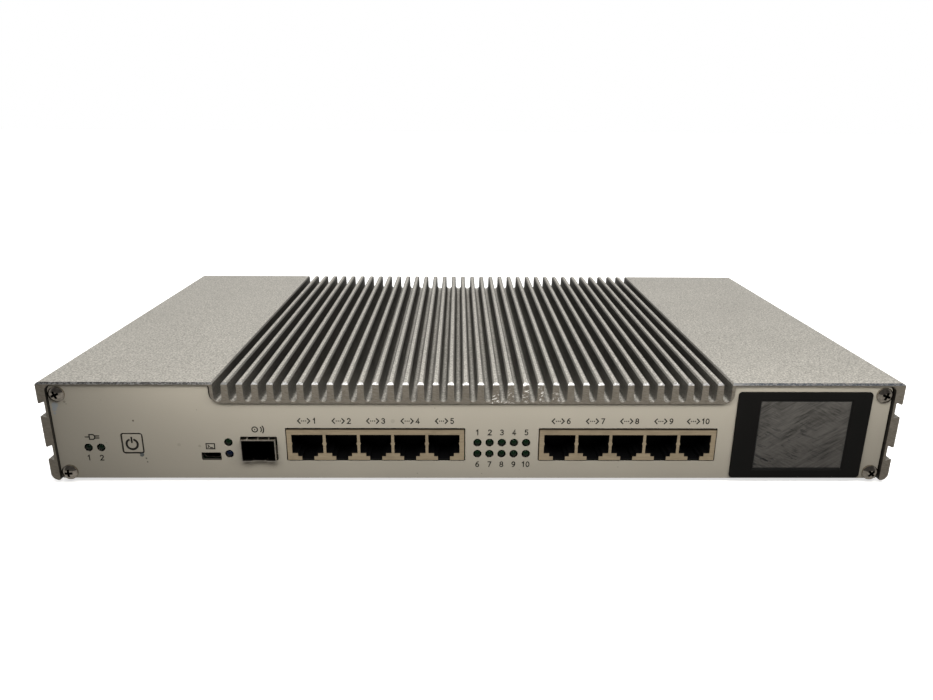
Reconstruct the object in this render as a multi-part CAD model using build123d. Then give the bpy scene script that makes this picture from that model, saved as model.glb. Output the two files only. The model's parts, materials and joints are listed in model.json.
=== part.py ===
from build123d import *
import os

# Fanless one-unit firewall appliance, millimetres. X runs along the front, Y to the back, Z up.
# The origin is the middle of the footprint, on the surface that the feet stand on. Heights
# below are measured from the housing's lower edge, and save() lifts every piece by FOOT_STAND.

# Housing: one aluminium extrusion with a finned pan in its top, open below and at both ends.
WIDTH = 347.0
DEPTH = 200.0
HEIGHT = 43.0
FOOT_STAND = 1.4
SIDE_WALL = 3.5
TOP_WALL = 1.1
TOP_CORNER_R = 1.2
BOTTOM_CORNER_R = 3.0
END_CHAMFER = 0.8
LIP_CORNER_R = 0.5
SLOT_DEPTH = 2.5
SLOT_CORNER_R = 0.3
SLOT_MOUTHS = [(10.1, 14.8), (29.0, 33.8)]
SLOT_UNDERCUT = 1.1

# Heat sink: a pan sunk into the top wall, with grooves cut down between the fins.
FIN_COUNT = 34
FIN_PITCH = 6.0
GROOVE_R = 1.6
GROOVE_DEPTH = 8.0
GROOVE_DRAFT = 0.15
FIN_EDGE_CHAMFER = 0.55
PAN_HALF_WIDTH = 105.0
PAN_FLOOR = 0.8
PAN_CORNER_R = 4.0
INNER_CORNER_R = 1.0
CEILING_CORNER_R = 2.5

# End panels: flat plates, sunk a little into both ends of the housing.
PANEL_RECESS = 1.5
PANEL_THICK = 2.0
PANEL_SIDE_GAP = 0.35
PANEL_EDGE_GAP = 0.2
PANEL_PAN_GAP = (0.85, 0.45)
PANEL_SHIFT = -0.2
PANEL_BOTTOM = 0.3
PANEL_CORNER_R = 3.0
PANEL_FOOT_R = 0.6
PUNCHED_R = 0.4

# Panel screws, M3 with a pan head and a cross recess, in channels along the housing's corners.
SCREW_X = 166.2
SCREW_ZS = [3.2, 37.7]
SCREW_HEAD_R = 3.2
SCREW_HEAD_H = 2.0
SCREW_SHANK_R = 1.45
SCREW_LENGTH = 10.0
CHANNEL_R = 3.0
CHANNEL_HOLE_R = 1.5
CHANNEL_WEB = 4.8
WEB_ROOT = 0.5
CLEARANCE_HOLE_R = 1.7
HEAD_RIM = 0.4
HEAD_SHOULDER = (0.62, 0.84)
SMALL_HEAD_R = 2.75
SMALL_HEAD_H = 1.7
CROSS_R = 1.9
CROSS_WIDTH = 1.0
CROSS_DEPTH = 1.5
CROSS_FLOOR_R = 1.1
CROSS_CLEAR = 0.4
SCREW_TURN = 23
EARTH_SCREW_LENGTH = 6.0

# Bottom plate, screwed to a ledge along each side wall, and the feet stuck to it.
PLATE_Z = (0.4, 2.2)
PLATE_HALF_WIDTH = 161.7
PLATE_GAP = 0.1
LEDGE_X = (152.5, 164.0)
LEDGE_THICK = 3.0
LEDGE_HALF_LENGTH = 88.0
PLATE_SCREW_X = 157.0
PLATE_SCREW_YS = [-80.0, -27.0, 27.0, 80.0]
CSK_HEAD_R = 2.8
CSK_HEAD_H = 1.6
CSK_GAP = 0.05
FOOT_R = 6.5
FOOT_X = 140.0
FOOT_Y = 82.0
FOOT_EDGE_R = 0.5

# Network ports: two five-way shielded jacks, latch side down.
PORT_PITCH = 13.97
PORTS_PER_JACK = 5
PORT_ROW_X = 11.9
JACK_OFFSET = 51.7
JACK_HALF_WIDTH = 36.25
JACK_Z = (8.7, 22.1)
JACK_PROUD = 0.3
JACK_DEPTH = 17.1
SHIELD_THICK = 0.35
JACK_GAP = 0.45
JACK_TOP_GAP = 0.8
PORT_TOP = 20.0
PORT_STEPS = [(12.8, 11.7), (8.2, 10.3), (5.0, 8.7)]
PORT_DEPTH = 13.0
JACK_FLOOR = 0.5
BUMP_R = 1.2
BUMP_Z = 16.0
BUMP_HEIGHT = 0.25
CONTACTS_PER_PORT = 8
CONTACT_PITCH = 1.016
CONTACT_WIDTH = 0.4
CONTACT_WIRE = 0.3
CONTACT_SET_BACK = 1.8
CONTACT_RUN = 6.8
CONTACT_SPRING = [(1.2, 0.3), (8.8, 3.4), (8.6, 3.7), (0.0, 0.4)]

# Small-form optical module cage, with spring fingers round its mouth.
CAGE_X = -87.55
CAGE_WIDTH = 14.1
CAGE_Z = (8.7, 18.3)
CAGE_PROUD = 2.0
CAGE_LENGTH = 48.5
CAGE_THICK = 0.3
CAGE_GAP = (0.45, 0.7)
CONNECTOR_SIZE = (11.2, 9.0, 5.9)
CONNECTOR_SLOT = (9.2, 6.0, 1.3)
CONNECTOR_SLOT_RISE = 2.3
CONNECTOR_GAP = 0.5
LATCH_WIDTH = 5.2
LATCH_SLIT = 0.5
FINGER_WIDTH = 0.5
FINGER_HEIGHT = 0.6
FINGER_LENGTH = 3.4
FINGER_SET_BACK = 0.3
FINGER_ROOT = 0.1
TOP_FINGERS = [-4.4, 0.0, 4.4]
SIDE_FINGERS = [11.6, 15.2]
SIDE_FINGER_Y = (1.4, 3.4)
LATCH_LENGTH = 2.6
LATCH_NOTCH = 0.5

# Service port: a micro receptacle.
USB_X = -107.45
USB_Z = 10.15
USB_OPENING = (8.1, 3.5)
USB_SHELL = (7.4, 2.6)
USB_CORNER_CUT = 0.9
USB_THICK = 0.3
USB_SET_BACK = 2.1
USB_LENGTH = 5.6
USB_LEG = (1.2, 2.0)
USB_LEG_X = 2.4
USB_TONGUE = (3.8, 0.5)
USB_TONGUE_LIFT = 0.1

# Indicator lamps: 3 mm domed lamps behind round holes.
LAMP_R = 1.5
LAMP_HOLE_R = 1.75
LAMP_PROUD = 0.4
PORT_LAMP_XS = [1.9, 6.9, 11.9, 16.9, 21.9]
PORT_LAMP_ZS = [11.4, 16.4]
OPTICAL_LAMP_X = -100.0
OPTICAL_LAMP_ZS = [11.3, 16.5]
SUPPLY_LAMP_XS = [-157.2, -152.1]
SUPPLY_LAMP_Z = 14.1
HOLDER_DEPTH = 6.0
HOLDER_MARGIN = 1.5
HOLDER_BORE_R = 1.55
HOLDER_GAP = 0.3

# Power button, which slides back onto a push switch.
BUTTON_X = -139.1
BUTTON_Z = 15.95
BUTTON_SIZE = (7.9, 8.2)
BUTTON_CORNER_R = 0.7
BUTTON_GAP = 0.55
BUTTON_TRAVEL = 0.8
BUTTON_THICK = 3.0
BUTTON_FLANGE = 0.9
BUTTON_EDGE = 0.2
FLANGE_GAP = 0.05
BUTTON_STEM_R = 1.75
SWITCH_SIZE = 6.0
SWITCH_DEPTH = 3.2
PLUNGER_R = 1.6
PLUNGER_BORE_R = 1.65
PLUNGER_STAND = 1.2
PLUNGER_SEAT = 1.0
PLUNGER_SPARE = 0.2
BUTTON_BOARD_X = (-162.0, -131.0)
BUTTON_BOARD_Z = (6.0, 25.0)
BUTTON_BOARD_Y = -87.0
PANEL_SPACER_R = 1.8
PANEL_SPACERS = [(-158.5, 22.7), (-134.0, 22.8)]

# Display: a bezel clipped into the panel, a clear window and a module on its own board.
BEZEL_X = (107.1, 161.6)
BEZEL_Z = (0.8, 39.0)
BEZEL_PROUD = 0.9
BEZEL_CORNER_R = 1.5
BEZEL_EDGE_CHAMFER = 0.3
COLLAR_X = (112.2, 156.8)
COLLAR_Z = (3.2, 36.8)
COLLAR_DEPTH = 2.6
COLLAR_CORNER_R = 1.0
COLLAR_GAP = 0.15
WINDOW_X = (116.7, 153.6)
WINDOW_Z = (5.0, 34.9)
WINDOW_CORNER_R = 0.3
WINDOW_BEVEL = 0.7
WINDOW_RECESS = 0.7
WINDOW_LIP = 1.2
WINDOW_THICK = 1.0
WINDOW_GAP = 0.1
MODULE_THICK = 3.6
MODULE_GAP = 0.3
DISPLAY_BOARD_MARGIN = (2.0, 1.0)

# Boards and what stands on them.
BOARD_THICK = 1.6
BOARD_TOP = 8.7
MAIN_BOARD_X = (-117.0, 104.0)
MAIN_BOARD_Y = (-94.5, 66.0)
BOARD_CORNER_R = 2.0
SUPPLY_BOARD_X = (122.0, 165.0)
SUPPLY_BOARD_Y = (-45.0, 75.0)
STANDOFF_R = 2.7
MAIN_STANDOFFS = [(-112, -78), (-112, -10), (-112, 60), (12, -72), (12, 60), (99, -58), (99, -5), (99, 60)]
SUPPLY_STANDOFF_X = (126.0, 148.5)
SUPPLY_STANDOFF_INSET = 4.0
PROCESSOR_SIZE = 35.0
PROCESSOR_THICK = 2.3
LID_STEP = 0.8
LID_MARGIN = 3.0
PROCESSOR_AT = (0.0, -15.0)
SPREADER_SIZE = 64.0
SPREADER_LEG = 8.0
SPREADER_BORE = 9.0
THERMAL_PAD = 1.0
BOARD_SCREW_GRIP = 4.0
SPREADER_SCREW_GRIP = 7.0
MEMORY_AT = (-72.0, -3.0)
MEMORY_SIZE = (67.6, 30.0, 1.2)
MEMORY_LIFT = 3.4
MEMORY_CHIP = (10.0, 12.0, 1.0)
MEMORY_CHIP_XS = [-22.5, -7.5, 7.5, 22.5]
MEMORY_CHIP_Y = -4.0
STORAGE_AT = (56.0, 6.0)
STORAGE_SIZE = (22.0, 80.0, 0.8)
STORAGE_LIFT = 2.4
STORAGE_CHIP = (14.0, 18.0, 1.2)
STORAGE_CHIP_YS = [-22.0, 2.0]
SOCKET_DEPTH = 6.0
SOCKET_GRIP = 2.5
SOCKET_WALL = 1.5
SOCKET_LID = 1.2
SOCKET_GAP = (0.1, 0.05)
NETWORK_CHIPS = [(-62.0, -62.0), (-22.0, -62.0), (40.0, -62.0)]
CHIP_SIZE = (12.0, 12.0, 1.4)
INDUCTORS = [(-30.0, 34.0), (-16.0, 34.0), (-2.0, 34.0), (12.0, 34.0)]
INDUCTOR_SIZE = (10.0, 10.0, 5.0)
INDUCTOR_EDGE = 1.5
CAPACITORS = [(-40.0, 50.0), (-28.0, 50.0), (-16.0, 50.0), (-4.0, 50.0), (24.0, 50.0), (36.0, 50.0)]
CAPACITOR_R = 4.0
CAPACITOR_H = 11.5
CAPACITOR_ROUNDING = 0.08
CELL_AT = (83.0, 34.0)
CELL_R = 10.0
CELL_THICK = 3.2
CELL_LIFT = 1.2
CELL_WALL = 1.6
CELL_CUP_H = 3.6
CELL_GAP = 0.1
TRANSFORMER_AT = (143.5, 8.0)
TRANSFORMER_CORE = (30.0, 26.0, 21.0)
WINDING = (20.0, 33.0, 15.0)
WINDING_LIFT = 3.0
WINDING_R = 4.0
BULK_CAP_AT = (143.5, 42.0)
BULK_CAP_R = 9.0
BULK_CAP_H = 27.0
HARNESS_R = 1.8
HARNESS_BEND_R = 8.0
HARNESS_RISE = 9.0
RIBBON_THICK = 0.3
RIBBON_Z = (10.5, 18.5)
RIBBON_INSET = 2.0
RIBBON_RUN = (14.0, 22.0)
RIBBON_BEND_R = 4.0
HARNESS_Y = -30.0
HARNESS_PLUG = (8.0, 12.0, 9.0)
HARNESS_PLUG_INSET = (9.0, 7.0)

# Mains inlets, let in from inside the rear panel, and the earth screw between them.
INLET_X = 137.0
INLET_Z = 20.0
INLET_MOUTH = (24.2, 16.4)
INLET_MOUTH_CUT = 4.2
INLET_SHROUD = (27.4, 19.6)
INLET_SHROUD_CUT = 4.8
INLET_FLANGE = (50.0, 22.4)
INLET_FLANGE_THICK = 2.6
INLET_DEPTH = 22.0
INLET_WELL = 17.0
INLET_SCREW_X = 20.0
INLET_GAP = 0.15
INLET_FLANGE_R = 3.0
INLET_SCREW_GRIP = 6.1
PIN_SIZE = (2.0, 4.0)
PIN_REACH = 12.3
PIN_TAIL = 4.5
PIN_TAIL_THICK = 1.5
PIN_PLACES = [(-7.0, -2.0), (0.0, 2.0), (7.0, -2.0)]
EARTH_X = 0.0
EARTH_Z = 12.0

FRONT = -DEPTH / 2
BACK = DEPTH / 2
HALF = WIDTH / 2
INNER_X = HALF - SIDE_WALL
CEILING = HEIGHT - TOP_WALL
PAN_BOTTOM = HEIGHT - GROOVE_DEPTH - PAN_FLOOR
PANEL_FRONT = FRONT + PANEL_RECESS
PANEL_BACK = PANEL_FRONT + PANEL_THICK
REAR_FACE = BACK - PANEL_RECESS
REAR_INSIDE = REAR_FACE - PANEL_THICK
BOARD_BOTTOM = BOARD_TOP - BOARD_THICK
JACK_XS = {"left": PORT_ROW_X - JACK_OFFSET, "right": PORT_ROW_X + JACK_OFFSET}
SIDES = {"left": -1, "right": 1}


# ---- helpers ---------------------------------------------------------------------------

def block(x, y, z):
    """A box between three (low, high) pairs."""
    middle = Pos(sum(x) / 2, sum(y) / 2, sum(z) / 2)
    return middle * Box(x[1] - x[0], y[1] - y[0], z[1] - z[0])


def centred(place, size, z):
    """A box of (x, y) size standing on z, centred at place; size[2] is its height."""
    return Pos(place[0], place[1], z + size[2] / 2) * Box(*size)


def along_x(outline, x):
    """Extrude a (y, z) outline between two x values."""
    return extrude(Plane.YZ.offset(x[0]) * outline, amount=x[1] - x[0])


def along_y(outline, y):
    """Extrude an (x, z) outline between two y values."""
    return extrude(Plane.XZ.offset(-y[1]) * outline, amount=y[1] - y[0])


def along_z(outline, z):
    """Extrude an (x, y) outline between two z values."""
    return extrude(Plane.XY.offset(z[0]) * outline, amount=z[1] - z[0])


def polygon(points):
    return make_face(Polyline(*points, close=True))


def rounded(points, radii):
    return make_face(FilletPolyline(*points, radius=radii, close=True))


def window(x, z, corner_r):
    """A rectangle with rounded corners between (low, high) pairs, as an (x, z) outline."""
    return Pos(sum(x) / 2, sum(z) / 2) * RectangleRounded(x[1] - x[0], z[1] - z[0], corner_r)


def rod(x, z, radius, y):
    """A round bar along Y."""
    return along_y(Pos(x, z) * Circle(radius), y)


def post(place, radius, z):
    """A round bar along Z."""
    return along_z(Pos(*place) * Circle(radius), z)


def wider(pair, by):
    return (pair[0] - by, pair[1] + by)


def around(middle, width):
    return (middle - width / 2, middle + width / 2)


def save(name, shape):
    export_step(Pos(0, 0, FOOT_STAND) * shape, f"parts/{name}.step")


# ---- screws ----------------------------------------------------------------------------

def cross_recess(top):
    """A cross recess that narrows towards its floor, cut down from just above the height top."""
    wings = Rectangle(2 * CROSS_R, CROSS_WIDTH) + Rectangle(CROSS_WIDTH, 2 * CROSS_R)
    height = CROSS_DEPTH + CROSS_CLEAR
    taper = Pos(0, 0, top - CROSS_DEPTH + height / 2) * Cone(CROSS_FLOOR_R, CROSS_R, height)
    return along_z(wings, (top - CROSS_DEPTH - 1, top + 1)) & taper


def pan_screw(head_r, head_h, length):
    """A domed screw along Z, with the underside of its head at zero."""
    rim = HEAD_RIM * head_h
    head = Polyline((0, -length), (SCREW_SHANK_R, -length), (SCREW_SHANK_R, 0), (head_r, 0), (head_r, rim))
    shoulder = (HEAD_SHOULDER[0] * head_r, HEAD_SHOULDER[1] * head_h)
    dome = ThreePointArc((head_r, rim), shoulder, (0, head_h))
    axis = Line((0, head_h), (0, -length))
    turned = revolve(Plane.XZ * make_face(head + dome + axis), Axis.Z)
    return turned - cross_recess(head_h)


def countersunk_screw(length):
    """A flat screw along Z, its head's face at zero and its shank below."""
    head = [(0, 0), (CSK_HEAD_R, 0), (SCREW_SHANK_R, -CSK_HEAD_H)]
    outline = polygon(head + [(SCREW_SHANK_R, -length), (0, -length)])
    return revolve(Plane.XZ * outline, Axis.Z) - cross_recess(0)


def panel_screws(facing):
    """Four screws into the housing's channels; facing is 90 at the front and -90 at the back."""
    seat = PANEL_FRONT if facing > 0 else REAR_FACE
    screw = pan_screw(SCREW_HEAD_R, SCREW_HEAD_H, SCREW_LENGTH)
    places = [(x, z) for x in (-SCREW_X, SCREW_X) for z in SCREW_ZS]
    return Compound([Pos(x, seat, z) * Rot(facing, 0, 0) * Rot(0, 0, SCREW_TURN * i) * screw
                     for i, (x, z) in enumerate(places)])


# ---- housing ---------------------------------------------------------------------------

def side_points():
    """The right wall's outline from its inner foot up to the top corner, with corner radii."""
    points = [(INNER_X, 0), (HALF, 0)]
    radii = [LIP_CORNER_R, BOTTOM_CORNER_R]
    for low, high in SLOT_MOUTHS:
        floor = HALF - SLOT_DEPTH
        points += [(HALF, low), (floor, low - SLOT_UNDERCUT), (floor, high + SLOT_UNDERCUT), (HALF, high)]
        radii += [LIP_CORNER_R, SLOT_CORNER_R, SLOT_CORNER_R, LIP_CORNER_R]
    return points + [(HALF, HEIGHT)], radii + [TOP_CORNER_R]


def inner_points():
    """The right half of the inside: down the pan's flank and up to the side wall."""
    points = [(INNER_X, CEILING), (PAN_HALF_WIDTH, CEILING), (PAN_HALF_WIDTH, PAN_BOTTOM)]
    return points, [CEILING_CORNER_R, INNER_CORNER_R, PAN_CORNER_R]


def mirrored(points, radii):
    return [(-x, z) for x, z in reversed(points)], list(reversed(radii))


def groove(x):
    """One groove between fins: a round floor, drafted flanks and a small chamfer at its mouth."""
    floor = HEIGHT - GROOVE_DEPTH
    centre = floor + GROOVE_R
    mouth = GROOVE_R + GROOVE_DRAFT
    half = [(GROOVE_R, centre), (mouth, HEIGHT - FIN_EDGE_CHAMFER), (mouth + FIN_EDGE_CHAMFER, HEIGHT),
            (mouth + FIN_EDGE_CHAMFER, HEIGHT + 1)]
    right = [(x + dx, z) for dx, z in half]
    left = [(x - dx, z) for dx, z in reversed(half)]
    arc = ThreePointArc(left[-1], (x, floor), right[0])
    return make_face(Polyline(*right, *left) + arc)


def housing_outline():
    sides, side_radii = side_points()
    inside, inside_radii = inner_points()
    far_sides, far_side_radii = mirrored(sides, side_radii)
    far_inside = [(-x, z) for x, z in inside]
    points = sides + far_sides + far_inside + list(reversed(inside))
    radii = side_radii + far_side_radii + inside_radii + list(reversed(inside_radii))
    first = -FIN_COUNT * FIN_PITCH / 2
    grooves = [groove(first + i * FIN_PITCH) for i in range(FIN_COUNT + 1)]
    return rounded(points, radii) - grooves


def screw_channel(side, z):
    """The round channel for a panel screw, with a web that joins it to the wall."""
    root_x = INNER_X + WEB_ROOT
    web = Pos(side * (SCREW_X + root_x) / 2, z) * Rectangle(root_x - SCREW_X, CHANNEL_WEB)
    round_part = Pos(side * SCREW_X, z) * Circle(CHANNEL_R)
    roof = []
    if z > HEIGHT / 2:
        root_z = CEILING + WEB_ROOT
        roof = [Pos(side * SCREW_X, (z + root_z) / 2) * Rectangle(CHANNEL_WEB, root_z - z)]
    hole = Pos(side * SCREW_X, z) * Circle(CHANNEL_HOLE_R)
    return round_part + web + roof - hole


def housing():
    body = along_y(housing_outline(), (FRONT, BACK))
    span = (PANEL_BACK, REAR_INSIDE)
    for side in SIDES.values():
        body += [along_y(screw_channel(side, z), span) for z in SCREW_ZS]
        ledge_x = sorted((side * LEDGE_X[0], side * LEDGE_X[1]))
        ledge_y = (-LEDGE_HALF_LENGTH, LEDGE_HALF_LENGTH)
        body += block(ledge_x, ledge_y, (PLATE_Z[1], PLATE_Z[1] + LEDGE_THICK))
        tapped = (PLATE_Z[1] - 1, PLATE_Z[1] + LEDGE_THICK + 1)
        body -= [post((side * PLATE_SCREW_X, y), CHANNEL_HOLE_R, tapped) for y in PLATE_SCREW_YS]
    for z in SCREW_ZS:
        for x in (-SCREW_X, SCREW_X):
            body -= rod(x, z, CHANNEL_HOLE_R, span)
    for end in (FRONT, BACK):
        inward = END_CHAMFER if end < 0 else -END_CHAMFER
        beyond = end - inward
        slope = [(end + inward, HEIGHT), (end, HEIGHT - END_CHAMFER)]
        outside = [(beyond, HEIGHT - END_CHAMFER), (beyond, HEIGHT + 1), (end + inward, HEIGHT + 1)]
        body -= along_x(polygon(slope + outside), (-HALF - 1, HALF + 1))
    return body


# ---- panels, plate and feet ------------------------------------------------------------

def panel_outline():
    """Both end panels: a plate with a step in its top edge for the heat-sink pan."""
    half = INNER_X - PANEL_SIDE_GAP
    top = CEILING - PANEL_EDGE_GAP
    step_x = PAN_HALF_WIDTH + PANEL_PAN_GAP[0]
    step_z = PAN_BOTTOM - PANEL_PAN_GAP[1]
    right = [(half, PANEL_BOTTOM), (half, top), (step_x, top), (step_x, step_z)]
    step_r = INNER_CORNER_R + PANEL_EDGE_GAP
    radii = [PANEL_FOOT_R, PANEL_CORNER_R, step_r, PAN_CORNER_R + PANEL_PAN_GAP[1]]
    left = [(-x, z) for x, z in reversed(right)]
    outline = rounded(right + left, radii + list(reversed(radii)))
    holes = [Pos(x, z) * Circle(CLEARANCE_HOLE_R) for x in (-SCREW_X, SCREW_X) for z in SCREW_ZS]
    return Pos(PANEL_SHIFT, 0) * outline - holes


def front_holes():
    """Every opening through the front panel."""
    lamps = [(x, SUPPLY_LAMP_Z) for x in SUPPLY_LAMP_XS]
    lamps += [(OPTICAL_LAMP_X, z) for z in OPTICAL_LAMP_ZS]
    lamps += [(x, z) for x in PORT_LAMP_XS for z in PORT_LAMP_ZS]
    holes = [Pos(x, z) * Circle(LAMP_HOLE_R) for x, z in lamps]
    for x in JACK_XS.values():
        sides = (x - JACK_HALF_WIDTH - JACK_GAP, x + JACK_HALF_WIDTH + JACK_GAP)
        holes.append(window(sides, (JACK_Z[0] - JACK_GAP, JACK_Z[1] + JACK_TOP_GAP), PUNCHED_R))
    cage_x = (CAGE_X - CAGE_WIDTH / 2, CAGE_X + CAGE_WIDTH / 2)
    cage_z = (CAGE_Z[0] - CAGE_GAP[0], CAGE_Z[1] + CAGE_GAP[1])
    holes.append(window(wider(cage_x, CAGE_GAP[0]), cage_z, PUNCHED_R))
    holes.append(Pos(USB_X, USB_Z) * RectangleRounded(*USB_OPENING, PUNCHED_R))
    button_hole = [size + 2 * BUTTON_GAP for size in BUTTON_SIZE]
    holes.append(Pos(BUTTON_X, BUTTON_Z) * RectangleRounded(*button_hole, BUTTON_CORNER_R + BUTTON_GAP))
    collar_r = COLLAR_CORNER_R + COLLAR_GAP
    holes.append(window(wider(COLLAR_X, COLLAR_GAP), wider(COLLAR_Z, COLLAR_GAP), collar_r))
    return holes


def front_panel():
    return along_y(panel_outline() - front_holes(), (PANEL_FRONT, PANEL_BACK))


def cut_corner_outline(size, cut):
    """A rectangle with its two lower corners cut off, as a mains inlet has."""
    w, h = size[0] / 2, size[1] / 2
    return polygon([(-w, h), (-w, cut - h), (cut - w, -h), (w - cut, -h), (w, cut - h), (w, h)])


def rear_panel():
    outline = panel_outline()
    shroud = [size + 2 * INLET_GAP for size in INLET_SHROUD]
    for side in SIDES.values():
        outline -= Pos(side * INLET_X, INLET_Z) * cut_corner_outline(shroud, INLET_SHROUD_CUT)
        for dx in (-INLET_SCREW_X, INLET_SCREW_X):
            outline -= Pos(side * INLET_X + dx, INLET_Z) * Circle(CLEARANCE_HOLE_R)
    outline -= Pos(EARTH_X, EARTH_Z) * Circle(CHANNEL_HOLE_R)
    return along_y(outline, (REAR_INSIDE, REAR_FACE))


def plate_screw_places():
    return [(side * PLATE_SCREW_X, y) for side in SIDES.values() for y in PLATE_SCREW_YS]


def bottom_plate():
    length = (PANEL_BACK + PLATE_GAP, REAR_INSIDE - PLATE_GAP)
    plate = block((-PLATE_HALF_WIDTH, PLATE_HALF_WIDTH), length, PLATE_Z)
    low = PLATE_Z[0]
    for x, y in plate_screw_places():
        sink = Cone(CSK_HEAD_R + CSK_GAP, SCREW_SHANK_R + CSK_GAP, CSK_HEAD_H)
        plate -= Pos(x, y, low + CSK_HEAD_H / 2) * sink
        plate -= post((x, y), SCREW_SHANK_R + CSK_GAP, wider(PLATE_Z, 1))
    return plate


def bottom_screws():
    screw = Rot(180, 0, 0) * countersunk_screw(LEDGE_THICK + PLATE_Z[1] - PLATE_Z[0])
    return Compound([Pos(x, y, PLATE_Z[0]) * screw for x, y in plate_screw_places()])


def foot(x, y):
    pad = post((x, y), FOOT_R, (-FOOT_STAND, PLATE_Z[0]))
    return fillet(pad.edges().group_by(Axis.Z)[0], FOOT_EDGE_R)


def feet():
    return Compound([foot(x, y) for x in (-FOOT_X, FOOT_X) for y in (-FOOT_Y, FOOT_Y)])


# ---- network jacks ---------------------------------------------------------------------

def port_centres(side):
    first = -(PORTS_PER_JACK - 1) / 2
    return [JACK_XS[side] + (first + i) * PORT_PITCH for i in range(PORTS_PER_JACK)]


def port_outline(x, lowest, bumps):
    """The stepped mouth of a port; bumps are the shield's small side springs."""
    right = []
    top = PORT_TOP
    for width, low in PORT_STEPS:
        right += [(x + width / 2, top), (x + width / 2, max(low, lowest))]
        top = low
    left = [(2 * x - px, z) for px, z in reversed(right)]
    mouth = polygon(right + left)
    if bumps:
        reach = PORT_STEPS[0][0] / 2 + BUMP_R - BUMP_HEIGHT
        mouth -= [Pos(x + dx, BUMP_Z) * Circle(BUMP_R) for dx in (-reach, reach)]
    return mouth


def port_shield(side):
    """The folded metal shell round one jack, open below."""
    x = JACK_XS[side]
    front = PANEL_FRONT - JACK_PROUD
    outer = block((x - JACK_HALF_WIDTH, x + JACK_HALF_WIDTH), (front, front + JACK_DEPTH), JACK_Z)
    half = JACK_HALF_WIDTH - SHIELD_THICK
    inner = block((x - half, x + half), (front + SHIELD_THICK, front + JACK_DEPTH - SHIELD_THICK),
                  (JACK_Z[0] - 1, JACK_Z[1] - SHIELD_THICK))
    shell = outer - inner
    for port in port_centres(side):
        mouth = port_outline(port, JACK_Z[0] - 1, bumps=True)
        shell -= along_y(mouth, (front - 1, front + SHIELD_THICK + 0.5))
    return shell


def port_body(side):
    """The moulded insulator with its five stepped cavities."""
    x = JACK_XS[side]
    front = PANEL_FRONT - JACK_PROUD + SHIELD_THICK
    back = PANEL_FRONT - JACK_PROUD + JACK_DEPTH - SHIELD_THICK
    half = JACK_HALF_WIDTH - SHIELD_THICK
    body = block((x - half, x + half), (front, back), (JACK_Z[0], JACK_Z[1] - SHIELD_THICK))
    for port in port_centres(side):
        cavity = port_outline(port, JACK_Z[0] + JACK_FLOOR, bumps=False)
        body -= along_y(cavity, (front - 1, front + PORT_DEPTH))
    return body


def contact_outline():
    """One contact wire in (y, z): it lies along the port's ceiling and springs down and back."""
    front = PANEL_FRONT + CONTACT_SET_BACK
    end = front + CONTACT_RUN
    ceiling = [(front, PORT_TOP), (end, PORT_TOP), (end, PORT_TOP - CONTACT_WIRE)]
    return polygon(ceiling + [(front + along, PORT_TOP - down) for along, down in CONTACT_SPRING])


def port_contacts(side):
    outline = contact_outline()
    first = -(CONTACTS_PER_PORT - 1) / 2
    wires = []
    for port in port_centres(side):
        for i in range(CONTACTS_PER_PORT):
            x = port + (first + i) * CONTACT_PITCH
            wires.append(along_x(outline, around(x, CONTACT_WIDTH)))
    return Compound(wires)


# ---- optical cage and service port -----------------------------------------------------

def finger_outline():
    """A spring finger in (distance along Y, height over the wall)."""
    start = PANEL_FRONT - CAGE_PROUD + FINGER_SET_BACK
    end = start + FINGER_LENGTH
    arc = ThreePointArc((start, 0), ((start + end) / 2, FINGER_HEIGHT), (end, 0))
    return make_face(arc + Polyline((end, 0), (end, -FINGER_ROOT), (start, -FINGER_ROOT), (start, 0)))


def optical_cage():
    x = (CAGE_X - CAGE_WIDTH / 2, CAGE_X + CAGE_WIDTH / 2)
    front = PANEL_FRONT - CAGE_PROUD
    back = front + CAGE_LENGTH
    cage = block(x, (front, back), CAGE_Z)
    cage -= block(wider(x, -CAGE_THICK), (front - 1, back - CAGE_THICK), wider(CAGE_Z, -CAGE_THICK))
    floor = (CAGE_Z[0] - 1, CAGE_Z[0] + CAGE_THICK)
    for dx in (-1, 1):
        slit_x = CAGE_X + dx * (LATCH_WIDTH + LATCH_SLIT) / 2
        cage -= block(around(slit_x, LATCH_SLIT), (front - 1, front + LATCH_LENGTH), floor)
    cage -= block(around(CAGE_X, LATCH_WIDTH), (front - 1, front + LATCH_NOTCH), floor)
    for dx in TOP_FINGERS:
        cage += along_x(Pos(0, CAGE_Z[1]) * finger_outline(), around(CAGE_X + dx, FINGER_WIDTH))
    side_height = CAGE_GAP[0] - FINGER_ROOT
    side_y = [front + along for along in SIDE_FINGER_Y]
    for z in SIDE_FINGERS:
        for sign, wall in ((-1, x[0]), (1, x[1])):
            tab = sorted((wall - sign * FINGER_ROOT, wall + sign * side_height))
            cage += block(tab, side_y, around(z, FINGER_WIDTH))
    return cage


def optical_connector():
    """The edge connector at the back of the cage, with its card slot."""
    width, depth, height = CONNECTOR_SIZE
    slot_width, slot_depth, slot_height = CONNECTOR_SLOT
    front = PANEL_FRONT - CAGE_PROUD + CAGE_LENGTH - CAGE_THICK - CONNECTOR_GAP - depth
    floor = CAGE_Z[0] + CAGE_THICK
    slot_floor = floor + CONNECTOR_SLOT_RISE
    body = block(around(CAGE_X, width), (front, front + depth), (floor, floor + height))
    slot = block(around(CAGE_X, slot_width), (front - 1, front + slot_depth),
                 (slot_floor, slot_floor + slot_height))
    return body - slot


def usb_outline(size):
    """The receptacle's mouth: flat above, with both lower corners cut."""
    return Pos(USB_X, USB_Z) * cut_corner_outline(size, USB_CORNER_CUT)


def usb_y():
    front = PANEL_FRONT + USB_SET_BACK
    return (front, front + USB_LENGTH)


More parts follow.
